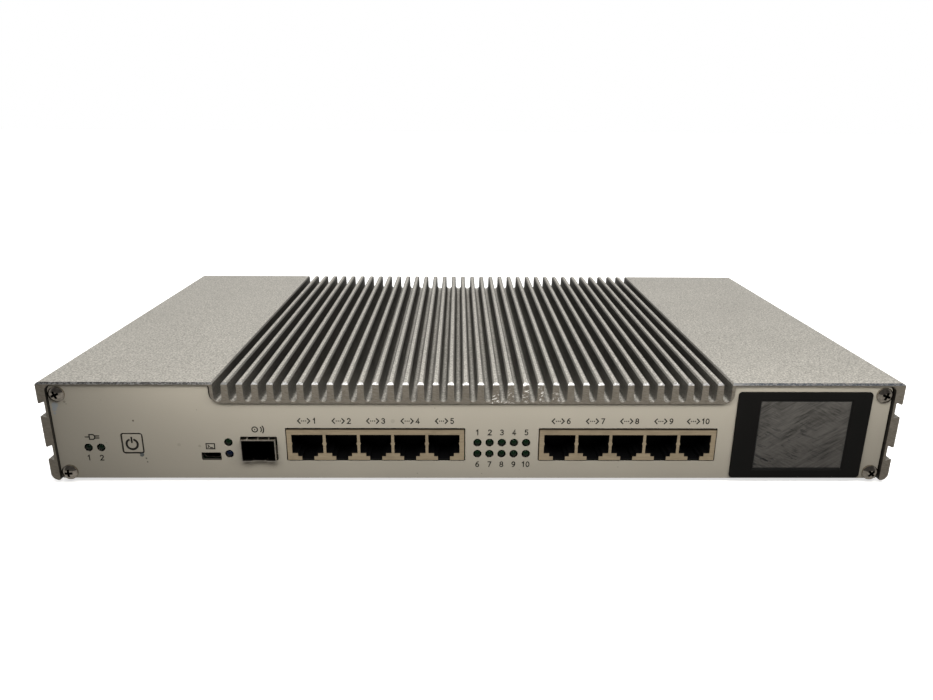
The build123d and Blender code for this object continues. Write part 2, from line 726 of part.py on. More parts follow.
def usb_shell():
    inner = [s - 2 * USB_THICK for s in USB_SHELL]
    front, back = usb_y()
    shell = along_y(usb_outline(USB_SHELL), (front, back))
    shell -= along_y(usb_outline(inner), (front - 1, back - USB_THICK))
    leg_z = (BOARD_TOP, USB_Z - inner[1] / 2)
    for x in (USB_X - USB_LEG_X, USB_X + USB_LEG_X):
        shell += block(around(x, USB_LEG[0]), (back - USB_LEG[1], back), leg_z)
    return shell


def usb_tongue():
    front, back = usb_y()
    low = USB_Z + USB_TONGUE_LIFT
    return block(around(USB_X, USB_TONGUE[0]), (front + 1, back - USB_THICK), (low, low + USB_TONGUE[1]))


# ---- lamps -----------------------------------------------------------------------------

def lamp(x, z, back):
    """A domed lamp facing the front, from its base at back to its tip just proud of the panel."""
    tip = PANEL_FRONT - LAMP_PROUD
    straight = rod(x, z, LAMP_R, (tip + LAMP_R, back))
    dome = Pos(x, tip + LAMP_R, z) * Sphere(LAMP_R)
    return straight + dome


def port_lamps():
    back = PANEL_BACK + HOLDER_DEPTH
    return Compound([lamp(x, z, back) for x in PORT_LAMP_XS for z in PORT_LAMP_ZS])


def optical_lamps():
    back = PANEL_BACK + HOLDER_DEPTH
    return Compound([lamp(OPTICAL_LAMP_X, z, back) for z in OPTICAL_LAMP_ZS])


def supply_lamps():
    return Compound([lamp(x, SUPPLY_LAMP_Z, BUTTON_BOARD_Y) for x in SUPPLY_LAMP_XS])


def holder(xs, zs):
    """A moulded block on the main board that holds a group of lamps in line with their holes."""
    reach = LAMP_R + HOLDER_MARGIN
    x = (min(xs) - reach, max(xs) + reach)
    z = (BOARD_TOP, max(zs) + reach)
    body = block(x, (PANEL_BACK + HOLDER_GAP, PANEL_BACK + HOLDER_DEPTH), z)
    for lamp_x in xs:
        for lamp_z in zs:
            body -= rod(lamp_x, lamp_z, HOLDER_BORE_R, (PANEL_BACK - 1, PANEL_BACK + HOLDER_DEPTH + 1))
    return body


def lamp_holders():
    return Compound([holder(PORT_LAMP_XS, PORT_LAMP_ZS), holder([OPTICAL_LAMP_X], OPTICAL_LAMP_ZS)])


# ---- power button ----------------------------------------------------------------------

def switch_front():
    return BUTTON_BOARD_Y - SWITCH_DEPTH


def power_button():
    """The key cap, with a flange that keeps it behind the panel and a stem onto the switch."""
    key = along_y(Pos(BUTTON_X, BUTTON_Z) * RectangleRounded(*BUTTON_SIZE, BUTTON_CORNER_R),
                  (PANEL_FRONT, PANEL_FRONT + BUTTON_THICK))
    key = chamfer(key.faces().sort_by(Axis.Y)[0].edges(), BUTTON_EDGE)
    flange_size = [size + 2 * BUTTON_FLANGE for size in BUTTON_SIZE]
    flange = along_y(Pos(BUTTON_X, BUTTON_Z) * RectangleRounded(*flange_size, BUTTON_CORNER_R),
                     (PANEL_BACK + FLANGE_GAP, PANEL_FRONT + BUTTON_THICK))
    stem_y = (PANEL_FRONT + BUTTON_THICK, switch_front() - PLUNGER_STAND)
    return key + flange + rod(BUTTON_X, BUTTON_Z, BUTTON_STEM_R, stem_y)


def switch_plunger():
    return rod(BUTTON_X, BUTTON_Z, PLUNGER_R, (switch_front() - PLUNGER_STAND, switch_front() + PLUNGER_SEAT))


def push_switch():
    bore_y = (switch_front() - 1, switch_front() + PLUNGER_SEAT + BUTTON_TRAVEL + PLUNGER_SPARE)
    body = block(around(BUTTON_X, SWITCH_SIZE), (switch_front(), BUTTON_BOARD_Y),
                 around(BUTTON_Z, SWITCH_SIZE))
    return body - rod(BUTTON_X, BUTTON_Z, PLUNGER_BORE_R, bore_y)


def button_board():
    return block(BUTTON_BOARD_X, (BUTTON_BOARD_Y, BUTTON_BOARD_Y + BOARD_THICK), BUTTON_BOARD_Z)


# ---- display ---------------------------------------------------------------------------

def window_face():
    return PANEL_FRONT - BEZEL_PROUD + WINDOW_RECESS


def display_bezel():
    front = PANEL_FRONT - BEZEL_PROUD
    rim = along_y(window(BEZEL_X, BEZEL_Z, BEZEL_CORNER_R), (front, PANEL_FRONT))
    rim = chamfer(rim.faces().sort_by(Axis.Y)[0].edges(), BEZEL_EDGE_CHAMFER)
    collar = along_y(window(COLLAR_X, COLLAR_Z, COLLAR_CORNER_R), (PANEL_FRONT, PANEL_FRONT + COLLAR_DEPTH))
    mouth = window(wider(WINDOW_X, WINDOW_BEVEL), wider(WINDOW_Z, WINDOW_BEVEL), 2 * WINDOW_CORNER_R)
    sight = window(WINDOW_X, WINDOW_Z, WINDOW_CORNER_R)
    funnel = loft([Plane.XZ.offset(-front) * mouth, Plane.XZ.offset(-window_face()) * sight])
    pocket = block(wider(WINDOW_X, WINDOW_LIP), (window_face(), PANEL_FRONT + COLLAR_DEPTH + 1),
                   wider(WINDOW_Z, WINDOW_LIP))
    return rim + collar - funnel - pocket


def display_window():
    reach = WINDOW_LIP - WINDOW_GAP
    front = window_face()
    return block(wider(WINDOW_X, reach), (front, front + WINDOW_THICK), wider(WINDOW_Z, reach))


def module_y():
    front = window_face() + WINDOW_THICK
    return (front, front + MODULE_THICK)


def display_module():
    reach = WINDOW_LIP - MODULE_GAP
    return block(wider(WINDOW_X, reach), module_y(), wider(WINDOW_Z, reach))


def display_board():
    back = module_y()[1]
    margin_x, margin_z = DISPLAY_BOARD_MARGIN
    return block(wider(WINDOW_X, margin_x), (back, back + BOARD_THICK), wider(WINDOW_Z, margin_z))


def display_ribbon():
    """A flat cable standing on edge, from the display board round to the main board."""
    start = module_y()[1] + BOARD_THICK
    bend, end = RIBBON_RUN
    x = WINDOW_X[0] + RIBBON_INSET
    path = FilletPolyline((x, start), (x, start + bend), (x - end, start + end), radius=RIBBON_BEND_R)
    return along_z(trace(path, RIBBON_THICK), RIBBON_Z)


# ---- boards ----------------------------------------------------------------------------

def board(x, y, drill):
    middle = Pos(sum(x) / 2, sum(y) / 2)
    outline = middle * RectangleRounded(x[1] - x[0], y[1] - y[0], BOARD_CORNER_R)
    outline -= [Pos(*place) * Circle(CLEARANCE_HOLE_R) for place in drill]
    return along_z(outline, (BOARD_BOTTOM, BOARD_TOP))


def spreader_legs():
    reach = (SPREADER_SIZE - SPREADER_LEG) / 2
    return [(PROCESSOR_AT[0] + dx, PROCESSOR_AT[1] + dy) for dx in (-reach, reach) for dy in (-reach, reach)]


def supply_x(side):
    return sorted(SIDES[side] * x for x in SUPPLY_BOARD_X)


def supply_standoffs(side):
    y = wider(SUPPLY_BOARD_Y, -SUPPLY_STANDOFF_INSET)
    return [(SIDES[side] * px, py) for px in SUPPLY_STANDOFF_X for py in y]


def main_board():
    return board(MAIN_BOARD_X, MAIN_BOARD_Y, MAIN_STANDOFFS + spreader_legs())


def supply_board(side):
    return board(supply_x(side), SUPPLY_BOARD_Y, supply_standoffs(side))


def standoff_places():
    return MAIN_STANDOFFS + supply_standoffs("left") + supply_standoffs("right")


def board_standoffs():
    """Sleeves under the flat boards, and two spacers from the front panel to the button board."""
    sleeve = Circle(STANDOFF_R) - Circle(CHANNEL_HOLE_R)
    sleeves = [along_z(Pos(*place) * sleeve, (PLATE_Z[1], BOARD_BOTTOM)) for place in standoff_places()]
    spacers = [rod(x, z, PANEL_SPACER_R, (PANEL_BACK, BUTTON_BOARD_Y)) for x, z in PANEL_SPACERS]
    return Compound(sleeves + spacers)


def board_screws():
    screw = pan_screw(SMALL_HEAD_R, SMALL_HEAD_H, BOARD_THICK + BOARD_SCREW_GRIP)
    return Compound([Pos(x, y, BOARD_TOP) * screw for x, y in standoff_places()])


# ---- processor, memory, storage and small parts ----------------------------------------

def processor():
    lid_size = PROCESSOR_SIZE - 2 * LID_MARGIN
    package = centred(PROCESSOR_AT, (PROCESSOR_SIZE, PROCESSOR_SIZE, PROCESSOR_THICK - LID_STEP), BOARD_TOP)
    lid = centred(PROCESSOR_AT, (lid_size, lid_size, PROCESSOR_THICK), BOARD_TOP)
    return package + lid


def heat_spreader():
    """A solid block that carries the processor's heat up to the pan, on four legs."""
    seat = BOARD_TOP + PROCESSOR_THICK
    top = PAN_BOTTOM - THERMAL_PAD
    spreader = centred(PROCESSOR_AT, (SPREADER_SIZE, SPREADER_SIZE, top - seat), seat)
    for place in spreader_legs():
        spreader += centred(place, (SPREADER_LEG, SPREADER_LEG, PROCESSOR_THICK), BOARD_TOP)
    for place in spreader_legs():
        spreader -= post(place, CHANNEL_HOLE_R, (BOARD_TOP - 1, BOARD_TOP + SPREADER_BORE))
    return spreader


def spreader_screws():
    screw = Rot(180, 0, 0) * pan_screw(SMALL_HEAD_R, SMALL_HEAD_H, BOARD_THICK + SPREADER_SCREW_GRIP)
    return Compound([Pos(x, y, BOARD_BOTTOM) * screw for x, y in spreader_legs()])


def thermal_pad():
    return centred(PROCESSOR_AT, (SPREADER_SIZE, SPREADER_SIZE, THERMAL_PAD), PAN_BOTTOM - THERMAL_PAD)


def card_with_chips(place, card_size, lift, chips, chip_size):
    """A thin board held flat above the main board; chips are their offsets from its middle."""
    card = centred(place, card_size, BOARD_TOP + lift)
    top = BOARD_TOP + lift + card_size[2]
    for dx, dy in chips:
        card += centred((place[0] + dx, place[1] + dy), chip_size, top)
    return card


def memory_module():
    chips = [(dx, MEMORY_CHIP_Y) for dx in MEMORY_CHIP_XS]
    return card_with_chips(MEMORY_AT, MEMORY_SIZE, MEMORY_LIFT, chips, MEMORY_CHIP)


def card_socket(place, card, lift):
    """A socket for a flat card whose rear edge is pushed in."""
    width, length, thick = card
    edge = place[1] + length / 2
    front = edge - SOCKET_GRIP
    card_z = (BOARD_TOP + lift, BOARD_TOP + lift + thick)
    body = block(around(place[0], width + 2 * SOCKET_WALL), (front, front + SOCKET_DEPTH),
                 (BOARD_TOP, card_z[1] + SOCKET_LID))
    slot = block(around(place[0], width + 2 * SOCKET_GAP[0]), (front - 1, edge + SOCKET_GAP[0]),
                 wider(card_z, SOCKET_GAP[1]))
    return body - slot


def storage_module():
    chips = [(0, dy) for dy in STORAGE_CHIP_YS]
    return card_with_chips(STORAGE_AT, STORAGE_SIZE, STORAGE_LIFT, chips, STORAGE_CHIP)


def network_chips():
    return Compound([centred(place, CHIP_SIZE, BOARD_TOP) for place in NETWORK_CHIPS])


def inductor(place):
    choke = centred(place, INDUCTOR_SIZE, BOARD_TOP)
    return chamfer(choke.edges().filter_by(Axis.Z), INDUCTOR_EDGE)


def inductors():
    return Compound([inductor(place) for place in INDUCTORS])


def capacitor(place, radius, height):
    can = post(place, radius, (BOARD_TOP, BOARD_TOP + height))
    return fillet(can.edges().group_by(Axis.Z)[-1], CAPACITOR_ROUNDING * radius)


def capacitors():
    return Compound([capacitor(place, CAPACITOR_R, CAPACITOR_H) for place in CAPACITORS])


def coin_cell():
    return post(CELL_AT, CELL_R, (BOARD_TOP + CELL_LIFT, BOARD_TOP + CELL_LIFT + CELL_THICK))


def coin_cell_holder():
    rim = BOARD_TOP + CELL_CUP_H
    cup = post(CELL_AT, CELL_R + CELL_WALL, (BOARD_TOP, rim))
    return cup - post(CELL_AT, CELL_R + CELL_GAP, (BOARD_TOP + CELL_LIFT, rim + 1))


# ---- power supplies --------------------------------------------------------------------

def transformer(side):
    """A ferrite core with a winding showing at both ends."""
    place = (SIDES[side] * TRANSFORMER_AT[0], TRANSFORMER_AT[1])
    core = centred(place, TRANSFORMER_CORE, BOARD_TOP)
    winding = centred(place, WINDING, BOARD_TOP + WINDING_LIFT)
    winding = fillet(winding.edges().filter_by(Axis.Y), WINDING_R)
    return core + winding


def bulk_capacitor(side):
    return capacitor((SIDES[side] * BULK_CAP_AT[0], BULK_CAP_AT[1]), BULK_CAP_R, BULK_CAP_H)


def dc_harness(side):
    """The low-voltage lead from a supply board to the main board, with a plug at each end."""
    sign = SIDES[side]
    main_x = MAIN_BOARD_X[1] if sign > 0 else MAIN_BOARD_X[0]
    start = (main_x - sign * HARNESS_PLUG_INSET[0], HARNESS_Y)
    end = (sign * (SUPPLY_BOARD_X[0] + HARNESS_PLUG_INSET[1]), HARNESS_Y)
    plug_top = BOARD_TOP + HARNESS_PLUG[2]
    height = plug_top + HARNESS_RISE
    corners = [(*start, plug_top - 1), (*start, height), (*end, height), (*end, plug_top - 1)]
    path = FilletPolyline(*corners, radius=HARNESS_BEND_R)
    lead = sweep(Plane(path @ 0, z_dir=path % 0) * Circle(HARNESS_R), path=path)
    return lead + [centred(place, HARNESS_PLUG, BOARD_TOP) for place in (start, end)]


# ---- mains inlets ----------------------------------------------------------------------

def pin_places(side):
    return [(SIDES[side] * INLET_X + dx, INLET_Z + dz) for dx, dz in PIN_PLACES]


def mains_inlet(side):
    """The moulded inlet: a shroud through the panel, a flange behind it and a deep well."""
    centre = Pos(SIDES[side] * INLET_X, INLET_Z)
    back = REAR_FACE - INLET_DEPTH
    shroud = along_y(centre * cut_corner_outline(INLET_SHROUD, INLET_SHROUD_CUT), (back, REAR_FACE))
    flange_outline = centre * RectangleRounded(*INLET_FLANGE, INLET_FLANGE_R)
    for dx in (-INLET_SCREW_X, INLET_SCREW_X):
        flange_outline -= centre * Pos(dx, 0) * Circle(CHANNEL_HOLE_R)
    flange = along_y(flange_outline, (REAR_INSIDE - INLET_FLANGE_THICK, REAR_INSIDE))
    mouth = centre * cut_corner_outline(INLET_MOUTH, INLET_MOUTH_CUT)
    inlet = shroud + flange - along_y(mouth, (REAR_FACE - INLET_WELL, REAR_FACE + 1))
    for x, z in pin_places(side):
        inlet -= block(around(x, PIN_SIZE[0]), (back - 1, REAR_FACE), around(z, PIN_SIZE[1]))
    return inlet


def inlet_pin(x, z):
    """A flat pin through the inlet's floor, with a tail bent down onto the supply board."""
    floor = REAR_FACE - INLET_WELL
    back = REAR_FACE - INLET_DEPTH
    end = back - PIN_TAIL
    sides = around(x, PIN_SIZE[0])
    blade = block(sides, (end, floor + PIN_REACH), around(z, PIN_SIZE[1]))
    return blade + block(sides, (end, end + PIN_TAIL_THICK), (BOARD_TOP, z))


def inlet_pins():
    return Compound([inlet_pin(x, z) for side in SIDES for x, z in pin_places(side)])


def inlet_screws():
    screw = Rot(-90, 0, 0) * pan_screw(SMALL_HEAD_R, SMALL_HEAD_H, INLET_SCREW_GRIP)
    return Compound([Pos(sign * INLET_X + dx, REAR_FACE, INLET_Z) * screw
                     for sign in SIDES.values() for dx in (-INLET_SCREW_X, INLET_SCREW_X)])


def earth_screw():
    screw = pan_screw(SCREW_HEAD_R, SCREW_HEAD_H, EARTH_SCREW_LENGTH)
    return Pos(EARTH_X, REAR_FACE, EARTH_Z) * Rot(-90, 0, 0) * screw


# ---- all pieces ------------------------------------------------------------------------

def pieces():
    """Every node's name with its solid or solids."""
    named = {
        "housing": housing(),
        "front_panel": front_panel(),
        "rear_panel": rear_panel(),
        "bottom_plate": bottom_plate(),
        "front_screws": panel_screws(90),
        "rear_screws": panel_screws(-90),
        "bottom_screws": bottom_screws(),
        "feet": feet(),
        "optical_cage": optical_cage(),
        "optical_connector": optical_connector(),
        "usb_shell": usb_shell(),
        "usb_tongue": usb_tongue(),
        "port_lamps": port_lamps(),
        "optical_lamps": optical_lamps(),
        "supply_lamps": supply_lamps(),
        "lamp_holders": lamp_holders(),
        "power_button": power_button(),
        "switch_plunger": switch_plunger(),
        "push_switch": push_switch(),
        "button_board": button_board(),
        "display_bezel": display_bezel(),
        "display_window": display_window(),
        "display_module": display_module(),
        "display_board": display_board(),
        "display_ribbon": display_ribbon(),
        "main_board": main_board(),
        "board_standoffs": board_standoffs(),
        "board_screws": board_screws(),
        "processor": processor(),
        "heat_spreader": heat_spreader(),
        "spreader_screws": spreader_screws(),
        "thermal_pad": thermal_pad(),
        "memory_module": memory_module(),
        "memory_socket": card_socket(MEMORY_AT, MEMORY_SIZE, MEMORY_LIFT),
        "storage_module": storage_module(),
        "storage_socket": card_socket(STORAGE_AT, STORAGE_SIZE, STORAGE_LIFT),
        "network_chips": network_chips(),
        "inductors": inductors(),
        "capacitors": capacitors(),
        "coin_cell": coin_cell(),
        "coin_cell_holder": coin_cell_holder(),
        "inlet_pins": inlet_pins(),
        "inlet_screws": inlet_screws(),
        "earth_screw": earth_screw(),
    }
    for side in SIDES:
        named[f"port_shield_{side}"] = port_shield(side)
        named[f"port_body_{side}"] = port_body(side)
        named[f"port_contacts_{side}"] = port_contacts(side)
        named[f"supply_board_{side}"] = supply_board(side)
        named[f"transformer_{side}"] = transformer(side)
        named[f"bulk_capacitor_{side}"] = bulk_capacitor(side)
        named[f"dc_harness_{side}"] = dc_harness(side)
        named[f"mains_inlet_{side}"] = mains_inlet(side)
    return named


os.makedirs("parts", exist_ok=True)
for name, shape in pieces().items():
    save(name, shape)
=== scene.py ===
import json
import math
import random

import bmesh
import bpy
from mathutils import Matrix, Vector


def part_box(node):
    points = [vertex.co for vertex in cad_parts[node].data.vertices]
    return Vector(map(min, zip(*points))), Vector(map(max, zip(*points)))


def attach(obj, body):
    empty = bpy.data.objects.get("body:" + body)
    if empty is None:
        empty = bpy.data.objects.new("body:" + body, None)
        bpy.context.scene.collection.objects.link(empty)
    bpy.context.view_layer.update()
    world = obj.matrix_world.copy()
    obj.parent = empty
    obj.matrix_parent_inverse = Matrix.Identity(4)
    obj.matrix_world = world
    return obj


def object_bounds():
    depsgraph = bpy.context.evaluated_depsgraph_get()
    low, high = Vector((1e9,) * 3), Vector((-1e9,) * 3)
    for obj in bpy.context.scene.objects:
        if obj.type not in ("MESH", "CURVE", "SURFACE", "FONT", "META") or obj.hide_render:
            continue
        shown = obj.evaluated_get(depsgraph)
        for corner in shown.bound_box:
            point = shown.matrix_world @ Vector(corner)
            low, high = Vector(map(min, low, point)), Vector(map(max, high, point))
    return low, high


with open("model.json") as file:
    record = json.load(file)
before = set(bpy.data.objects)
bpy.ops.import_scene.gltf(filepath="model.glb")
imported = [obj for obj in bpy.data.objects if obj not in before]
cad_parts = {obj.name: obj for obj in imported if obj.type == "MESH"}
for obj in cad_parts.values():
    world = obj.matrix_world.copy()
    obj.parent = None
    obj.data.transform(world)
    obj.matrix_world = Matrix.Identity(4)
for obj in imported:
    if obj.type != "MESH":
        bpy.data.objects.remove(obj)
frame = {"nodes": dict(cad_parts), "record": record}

# Looks of the fanless firewall appliance, round its CAD model. Metres, in the model's own frame.
MM = 0.001
CAD_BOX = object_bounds()
nodes = frame["nodes"]

# Camera: its viewpoint and turn. Metres and radians, and millimetres for lens and sensor.
CAMERA_AT = (-0.006245, -0.369721, 0.145993)
CAMERA_PITCH = 0.31432
CAMERA_YAW = 0.01255
CAMERA_ROLL = 0.00631
CAMERA_LENS = 27.962
SENSOR_WIDTH = 36.0
CAMERA_CLIP = (0.01, 100)

# The world as a light: its colour in front and everywhere else, and the fade between them along Y.
WORLD_STRENGTH = 0.80
WORLD_FRONT = (0.10, 0.0975, 0.095)
WORLD_REST = (1.0, 0.985, 0.955)
WORLD_FADE = (-0.5, 0.35)

# The floor: its paper, how it looks to a dull face, to a glossy face, and to the eye near the part and far off.
FLOOR_HALF = 6.0
FLOOR_PAPER = (0.93, 0.93, 0.93)
FLOOR_DIM = (0.12, 0.115, 0.11)
FLOOR_MIRRORED = (0.36, 0.35, 0.33)
FLOOR_GLOW = (0.62, 1.0)
FLOOR_GLOW_AT = (0.30, 0.80)

# Lamps: place, the point that each faces, size, watts, colour, and whether glossy faces mirror it.
LAMPS = {
    "key": dict(at=(0.06, 0.05, 1.10), aim=(0.0, 0.0, 0.03), size=(0.60, 0.40), power=8.0,
                colour=(1.0, 0.985, 0.96), mirrored=True),
    "near_key": dict(at=(0.0245, -0.144, 0.079), aim=(0.0245, -0.10, 0.015), size=(0.341, 0.03), power=0.154,
                     colour=(1.0, 0.965, 0.90), mirrored=False),
    "spark": dict(at=(0.0, -0.55, 0.95), aim=(0.0, -0.10, 0.03), size=(0.18, 0.10), power=0.8,
                  colour=(1.0, 1.0, 1.0), mirrored=True),
}


# ---- stage -----------------------------------------------------------------------------

def place_camera():
    data = bpy.data.cameras.new("camera")
    data.lens = CAMERA_LENS
    data.sensor_width = SENSOR_WIDTH
    data.sensor_fit = "HORIZONTAL"
    data.clip_start, data.clip_end = CAMERA_CLIP
    look = Vector((math.sin(CAMERA_YAW) * math.cos(CAMERA_PITCH),
                   math.cos(CAMERA_YAW) * math.cos(CAMERA_PITCH), -math.sin(CAMERA_PITCH)))
    right = Vector((math.cos(CAMERA_YAW), -math.sin(CAMERA_YAW), 0))
    up = right.cross(look)
    turned_right = math.cos(CAMERA_ROLL) * right + math.sin(CAMERA_ROLL) * up
    turned_up = math.cos(CAMERA_ROLL) * up - math.sin(CAMERA_ROLL) * right
    camera = bpy.data.objects.new("camera", data)
    bpy.context.scene.collection.objects.link(camera)
    turn = Matrix((turned_right, turned_up, -look)).transposed().to_4x4()
    camera.matrix_world = Matrix.Translation(CAMERA_AT) @ turn
    bpy.context.scene.camera = camera


def softbox(name, at, aim, size, power, colour, mirrored):
    """A rectangular lamp at a place, facing a point, that the camera itself doesn't see."""
    data = bpy.data.lights.new(name, "AREA")
    data.shape = "RECTANGLE"
    data.size, data.size_y = size
    data.energy = power
    data.color = colour
    lamp = bpy.data.objects.new(name, data)
    bpy.context.scene.collection.objects.link(lamp)
    lamp.location = at
    lamp.rotation_euler = (Vector(aim) - Vector(at)).to_track_quat("-Z", "Y").to_euler()
    lamp.visible_camera = False
    lamp.visible_glossy = mirrored


def make_world():
    """Soft light from all round: white to the eye, dimmer as a light, and dimmest in front."""
    world = bpy.data.worlds.new("studio")
    bpy.context.scene.world = world
    world.use_nodes = True
    tree = world.node_tree
    tree.nodes.clear()
    out = tree.nodes.new("ShaderNodeOutputWorld")
    seen = tree.nodes.new("ShaderNodeBackground")
    seen.inputs["Color"].default_value = (1, 1, 1, 1)
    seen.inputs["Strength"].default_value = 1.0
    lighting = tree.nodes.new("ShaderNodeBackground")
    lighting.inputs["Strength"].default_value = WORLD_STRENGTH
    coords = tree.nodes.new("ShaderNodeTexCoord")
    split = tree.nodes.new("ShaderNodeSeparateXYZ")
    fade = tree.nodes.new("ShaderNodeMapRange")
    fade.inputs["From Min"].default_value, fade.inputs["From Max"].default_value = WORLD_FADE
    ramp = tree.nodes.new("ShaderNodeMix")
    ramp.data_type = "RGBA"
    ramp.inputs["A"].default_value = (*WORLD_FRONT, 1)
    ramp.inputs["B"].default_value = (*WORLD_REST, 1)
    path = tree.nodes.new("ShaderNodeLightPath")
    mix = tree.nodes.new("ShaderNodeMixShader")
    tree.links.new(coords.outputs["Generated"], split.inputs[0])
    tree.links.new(split.outputs["Y"], fade.inputs["Value"])
    tree.links.new(fade.outputs[0], ramp.inputs["Factor"])
    tree.links.new(ramp.outputs["Result"], lighting.inputs["Color"])
    tree.links.new(path.outputs["Is Camera Ray"], mix.inputs[0])
    tree.links.new(lighting.outputs[0], mix.inputs[1])
    tree.links.new(seen.outputs[0], mix.inputs[2])
    tree.links.new(mix.outputs[0], out.inputs[0])


def make_floor():
    """A plain pale floor to the horizon: white to the eye, dim to the part, and clear from below."""
    mesh = bpy.data.meshes.new("floor")
    h = FLOOR_HALF
    mesh.from_pydata([(-h, -h, 0), (h, -h, 0), (h, h, 0), (-h, h, 0)], [], [(0, 1, 2, 3)])
    floor = bpy.data.objects.new("floor", mesh)
    bpy.context.scene.collection.objects.link(floor)
    paper = bpy.data.materials.new("floor_paper")
    paper.use_nodes = True
    tree = paper.node_tree
    shade = tree.nodes["Principled BSDF"]
    shade.inputs["Base Color"].default_value = (*FLOOR_PAPER, 1)
    shade.inputs["Roughness"].default_value = 0.9
    shade.inputs["Specular IOR Level"].default_value = 0.1
    shade.inputs["Emission Color"].default_value = (1, 1, 1, 1)
    coords = tree.nodes.new("ShaderNodeTexCoord")
    away = tree.nodes.new("ShaderNodeVectorMath")
    away.operation = "LENGTH"
    glow = tree.nodes.new("ShaderNodeMapRange")
    glow.inputs["From Min"].default_value, glow.inputs["From Max"].default_value = FLOOR_GLOW_AT
    glow.inputs["To Min"].default_value, glow.inputs["To Max"].default_value = FLOOR_GLOW
    tree.links.new(coords.outputs["Object"], away.inputs[0])
    tree.links.new(away.outputs["Value"], glow.inputs["Value"])
    tree.links.new(glow.outputs[0], shade.inputs["Emission Strength"])
    dim = tree.nodes.new("ShaderNodeBsdfDiffuse")
    dim.inputs["Color"].default_value = (*FLOOR_DIM, 1)
    mirrored = tree.nodes.new("ShaderNodeEmission")
    mirrored.inputs["Color"].default_value = (*FLOOR_MIRRORED, 1)
    path = tree.nodes.new("ShaderNodeLightPath")
    sides = tree.nodes.new("ShaderNodeNewGeometry")
    clear = tree.nodes.new("ShaderNodeBsdfTransparent")
    mixed = dim
    for choice, shader in ((path.outputs["Is Glossy Ray"], mirrored), (path.outputs["Is Camera Ray"], shade),
                           (sides.outputs["Backfacing"], clear)):
        mix = tree.nodes.new("ShaderNodeMixShader")
        tree.links.new(choice, mix.inputs[0])
        tree.links.new(mixed.outputs[0], mix.inputs[1])
        tree.links.new(shader.outputs[0], mix.inputs[2])
        mixed = mix
    tree.links.new(mixed.outputs[0], tree.nodes["Material Output"].inputs[0])
    mesh.materials.append(paper)


# ---- surfaces --------------------------------------------------------------------------

